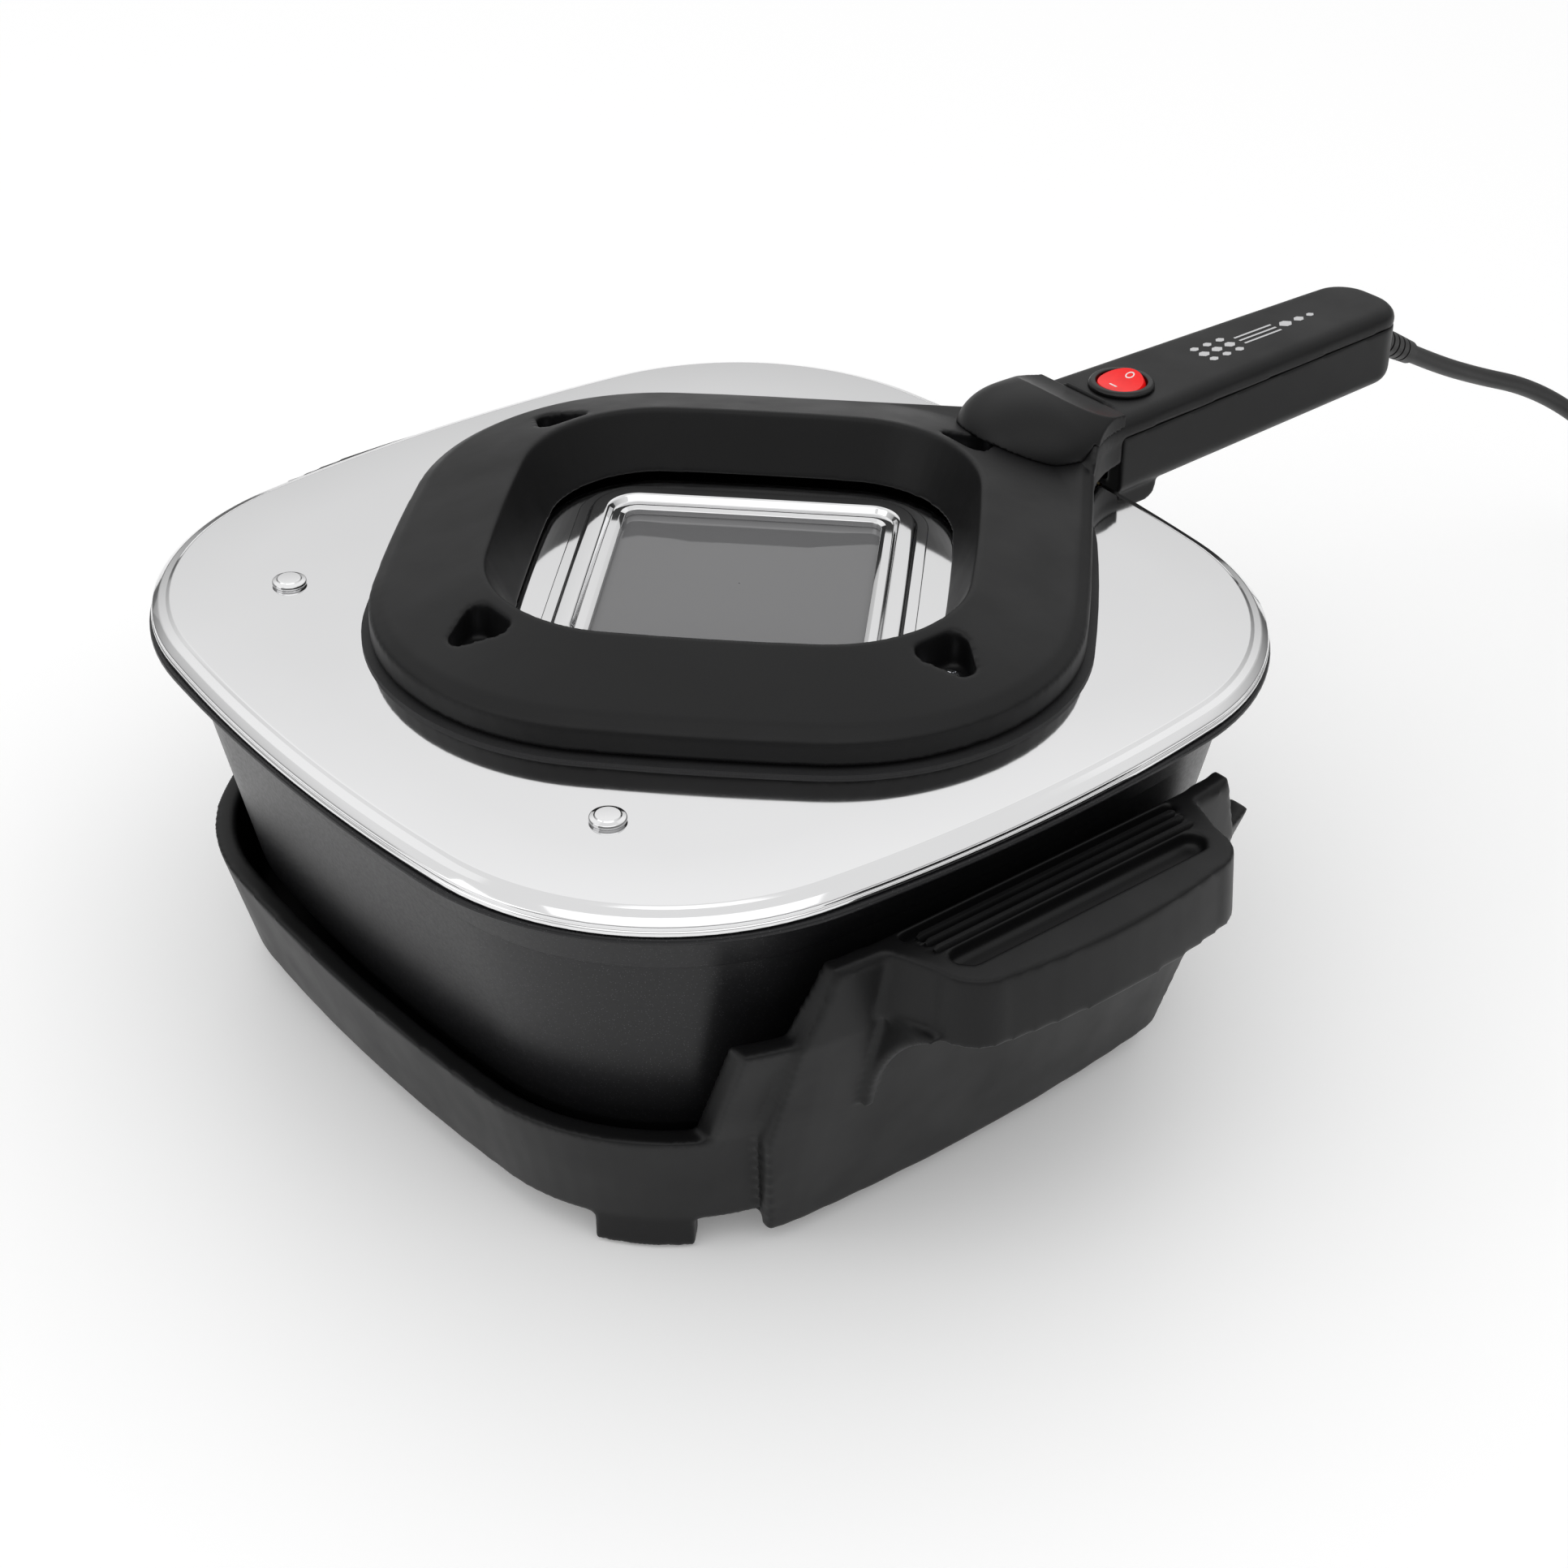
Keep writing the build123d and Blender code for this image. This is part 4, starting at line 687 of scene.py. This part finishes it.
class PAN_OT_screws(bpy.types.Operator):
    """Cross-head screws at the bottom of the cover's pockets"""
    bl_idname = "pan.screws"
    bl_label = "Cover screws"

    def execute(self, context):
        low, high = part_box("cover_screws")
        radius, shank, seat = 5.2 * MM, 2.0 * MM, 2.8 * MM
        under = low.z - high.z + seat
        ring = high.y - radius
        places = [(head_x + ring * math.cos(a), ring * math.sin(a), high.z - seat)
                  for a in (0, math.pi / 2, math.pi, -math.pi / 2)]
        profile = soften([(0.4 * MM, 2.0 * MM, 0), (2.0 * MM, 2.7 * MM, 0.6 * MM),
                          (3.6 * MM, 2.5 * MM, 1.0 * MM), (radius, 1.3 * MM, 0.8 * MM),
                          (radius, 0.0, 0.2 * MM), (shank, 0.0, 0.1 * MM),
                          (shank, under, 0.2 * MM), (0.1 * MM, under, 0)], closed=False)
        angles = [2 * math.pi * i / 64 for i in range(64)]
        rings = [[(across * math.cos(a), across * math.sin(a), height - self.cross(a, across, height))
                  for a in angles] for across, height in profile]
        head = solid_mesh("screw_head", *capped(rings), 40)
        scattered("cover_screw_heads", places, head, "plated_steel", "lid", replaces=("cover_screws",))
        return {"FINISHED"}

    @staticmethod
    def cross(angle, across, height):
        """Depth of the cross recess at a place on the head; none on the shank or the rim."""
        reach, half_wide, deep, seat = 3.4 * MM, 0.55 * MM, 1.3 * MM, 1.0 * MM
        if across >= reach or height <= seat:
            return 0.0
        inside = max(0.0, 1 - abs(math.sin(2 * angle)) * across / half_wide)
        return deep * min(1.0, inside * 3)


class PAN_OT_print(bpy.types.Operator):
    """Plain silver print along the handle: three lines and a row of diamonds"""
    bl_idname = "pan.print"
    bl_label = "Handle print"

    def execute(self, context):
        top, thick = back_z + 0.16 * MM, 0.3 * MM
        line = slab("print_line", [(-9.5, -0.45), (9.5, -0.45), (9.5, 0.45), (-9.5, 0.45)], thick)
        rows = [(0.2495, y * MM, top) for y in (-2.6, 0.0, 2.6)]
        scattered("print_lines", rows, line, "silver_print", "lid")
        outline = [(-2.6, 0), (-0.9, -1.7), (0.9, -1.7), (2.6, 0), (0.9, 1.7), (-0.9, 1.7)]
        diamond = slab("print_diamond", outline, thick)
        places = [(x * MM, y * MM, top) for x in (222.0, 228.5, 235.0) for y in (-4.8, 0.0, 4.8)]
        sizes = [0.8, 1.0, 0.8] * 3
        for x, size in ((264.0, 1.2), (271.0, 0.95), (277.0, 0.7)):
            places.append((x * MM, 0.0, top))
            sizes.append(size)
        scattered("print_diamonds", places, diamond, "silver_print", "lid",
                  sizes=sizes)
        return {"FINISHED"}


class PAN_OT_marks(bpy.types.Operator):
    """Ring and bar marks on the rocker"""
    bl_idname = "pan.marks"
    bl_label = "Rocker marks"
    angles = [2 * math.pi * i / 28 for i in range(28)]

    def execute(self, context):
        ring = [[(r * MM * math.cos(a), r * MM * math.sin(a)) for a in self.angles] for r in (1.15, 1.6)]
        self.mark("mark_ring", ring, 3.9)
        self.mark("mark_bar", [self.bar(0.05, 1.45), self.bar(0.32, 1.75)], -4.1)
        return {"FINISHED"}

    def bar(self, across, along):
        """Outline of an upright bar with soft ends, from its half sizes in millimetres."""
        return [(math.copysign(min(abs(math.cos(a)) * 3, 1) * across, math.cos(a)) * MM,
                 along * math.sin(a) * MM) for a in self.angles]

    @staticmethod
    def mark(name, loops, along):
        """Lays a flat band on the rocker's hollow face and gives it a thickness."""
        rocker = frame["nodes"]["switch_rocker"]
        near = rocker.matrix_world.inverted()
        down = near.to_3x3() @ Vector((0, 0, -1))
        rows = []
        for lift in (0.12 * MM, -0.1 * MM):
            for loop in (loops if lift > 0 else loops[::-1]):
                row = []
                for x, y in loop:
                    at = Vector((switch_x + along * MM + x, y, bezel_high.z + 20 * MM))
                    hit, place = rocker.ray_cast(near @ at, down)[:2]
                    place = rocker.matrix_world @ place if hit else at
                    row.append((place.x, place.y, place.z + lift))
                rows.append(row)
        piece(name, *skin(rows), "white_mark", "rocker", slot="red_translucent")


class PAN_OT_grip_ribs(bpy.types.Operator):
    """Raised finger ribs along each side grip"""
    bl_idname = "pan.grip_ribs"
    bl_label = "Grip ribs"

    def execute(self, context):
        half, tall, wide, sunk, run_out = 50 * MM, 1.5 * MM, 1.1 * MM, -1.0 * MM, 1.5 * MM
        profile = [(-wide, sunk), (-wide, tall * 0.4), (-wide * 0.6, tall), (wide * 0.6, tall),
                   (wide, tall * 0.4), (wide, sunk)]
        rings = []
        for x in (-half, -half + run_out, half - run_out, half):
            share = 0.55 if abs(x) == half else 1.0
            rings.append([(x, y * share, z if z < 0 else z * share) for y, z in profile])
        rib = solid_mesh("rib", *capped(rings), 50)
        steps_out = (6.8 * MM, 10.3 * MM, 14.0 * MM)
        places = [(0.0, side * (wall_y + step), grip_top) for side in (-1, 1) for step in steps_out]
        scattered("grip_ribs", places, rib, "black_plastic", "stand")
        return {"FINISHED"}


class PAN_OT_stage(bpy.types.Operator):
    """Pale floor and soft studio light"""
    bl_idname = "pan.stage"
    bl_label = "Stage"

    def execute(self, context):
        scene = context.scene
        scene.view_settings.view_transform = "Standard"
        reach = 6.0
        corners = [(-reach, -reach, 0), (reach, -reach, 0), (reach, reach, 0), (-reach, reach, 0)]
        mesh = bpy.data.meshes.new("floor")
        mesh.from_pydata(corners, [], [(0, 1, 2, 3)])
        floor = placed("floor", mesh)
        floor.location.z = -0.3 * MM
        material, tree, shader = start_material("pale_floor")
        shader.inputs["Base Color"].default_value = (0.93, 0.93, 0.93, 1.0)
        shader.inputs["Roughness"].default_value = 0.5
        shader.inputs["Emission Color"].default_value = (1.0, 1.0, 1.0, 1.0)
        shader.inputs["Emission Strength"].default_value = 0.16
        mesh.materials.append(material)
        world = bpy.data.worlds.new("studio")
        scene.world = world
        world.use_nodes = True
        tree = world.node_tree
        place = tree.nodes.new("ShaderNodeTexCoord")
        split = tree.nodes.new("ShaderNodeSeparateXYZ")
        tree.links.new(place.outputs["Generated"], split.inputs["Vector"])
        sky = ramp_between(tree, split.outputs["Z"], (0.16, 0.16, 0.16), (1.0, 1.0, 1.0), (0.04, 0.62))
        tree.links.new(sky.outputs["Color"], tree.nodes["Background"].inputs["Color"])
        tree.nodes["Background"].inputs["Strength"].default_value = 0.9
        self.lamp("key", (-0.5, -0.9, 1.9), (2.4, 1.8), 6.0)
        self.lamp("back", (0.9, 1.5, 1.3), (3.4, 2.2), 3.5)
        self.lamp("side", (-1.7, 0.5, 0.9), (1.2, 1.8), 4.0)
        return {"FINISHED"}

    @staticmethod
    def lamp(name, place, size, power):
        """Soft rectangular lamp aimed at the middle of the pan."""
        data = bpy.data.lights.new(name, "AREA")
        data.shape = "RECTANGLE"
        data.size, data.size_y = size
        data.energy = power
        light = placed(name, data)
        light.location = place
        aim = Vector((0.05, 0.0, 0.1)) - Vector(place)
        light.rotation_euler = aim.to_track_quat("-Z", "Y").to_euler()


class PAN_PT_panel(bpy.types.Panel):
    """Lists the sizes and the building steps"""
    bl_label = "Electric pan"
    bl_space_type = "VIEW_3D"
    bl_region_type = "UI"
    bl_category = "Pan"

    def draw(self, context):
        scene = context.scene
        for group in (scene.pan_lid, scene.pan_plastic, scene.pan_lead):
            for name in group.__annotations__:
                self.layout.prop(group, name)
        for step in steps:
            self.layout.operator(step.bl_idname)


settings_groups = (PanLidSettings, PanPlasticSettings, PanLeadSettings)
steps = (PAN_OT_camera, PAN_OT_carried, PAN_OT_lead, PAN_OT_lid, PAN_OT_window, PAN_OT_bowl,
         PAN_OT_mouldings, PAN_OT_rivets, PAN_OT_screws, PAN_OT_print, PAN_OT_marks, PAN_OT_grip_ribs,
         PAN_OT_stage)


def register():
    for cls in settings_groups + steps + (PAN_PT_panel,):
        bpy.utils.register_class(cls)
    bpy.types.Scene.pan_lid = PointerProperty(type=PanLidSettings)
    bpy.types.Scene.pan_plastic = PointerProperty(type=PanPlasticSettings)
    bpy.types.Scene.pan_lead = PointerProperty(type=PanLeadSettings)


def unregister():
    del bpy.types.Scene.pan_lid, bpy.types.Scene.pan_plastic, bpy.types.Scene.pan_lead
    for cls in reversed(settings_groups + steps + (PAN_PT_panel,)):
        bpy.utils.unregister_class(cls)


def main():
    register()
    make_finishes(bpy.context.scene)
    for step in steps:
        area, call = step.bl_idname.split(".")
        getattr(getattr(bpy.ops, area), call)()


if __name__ == "__main__":
    main()
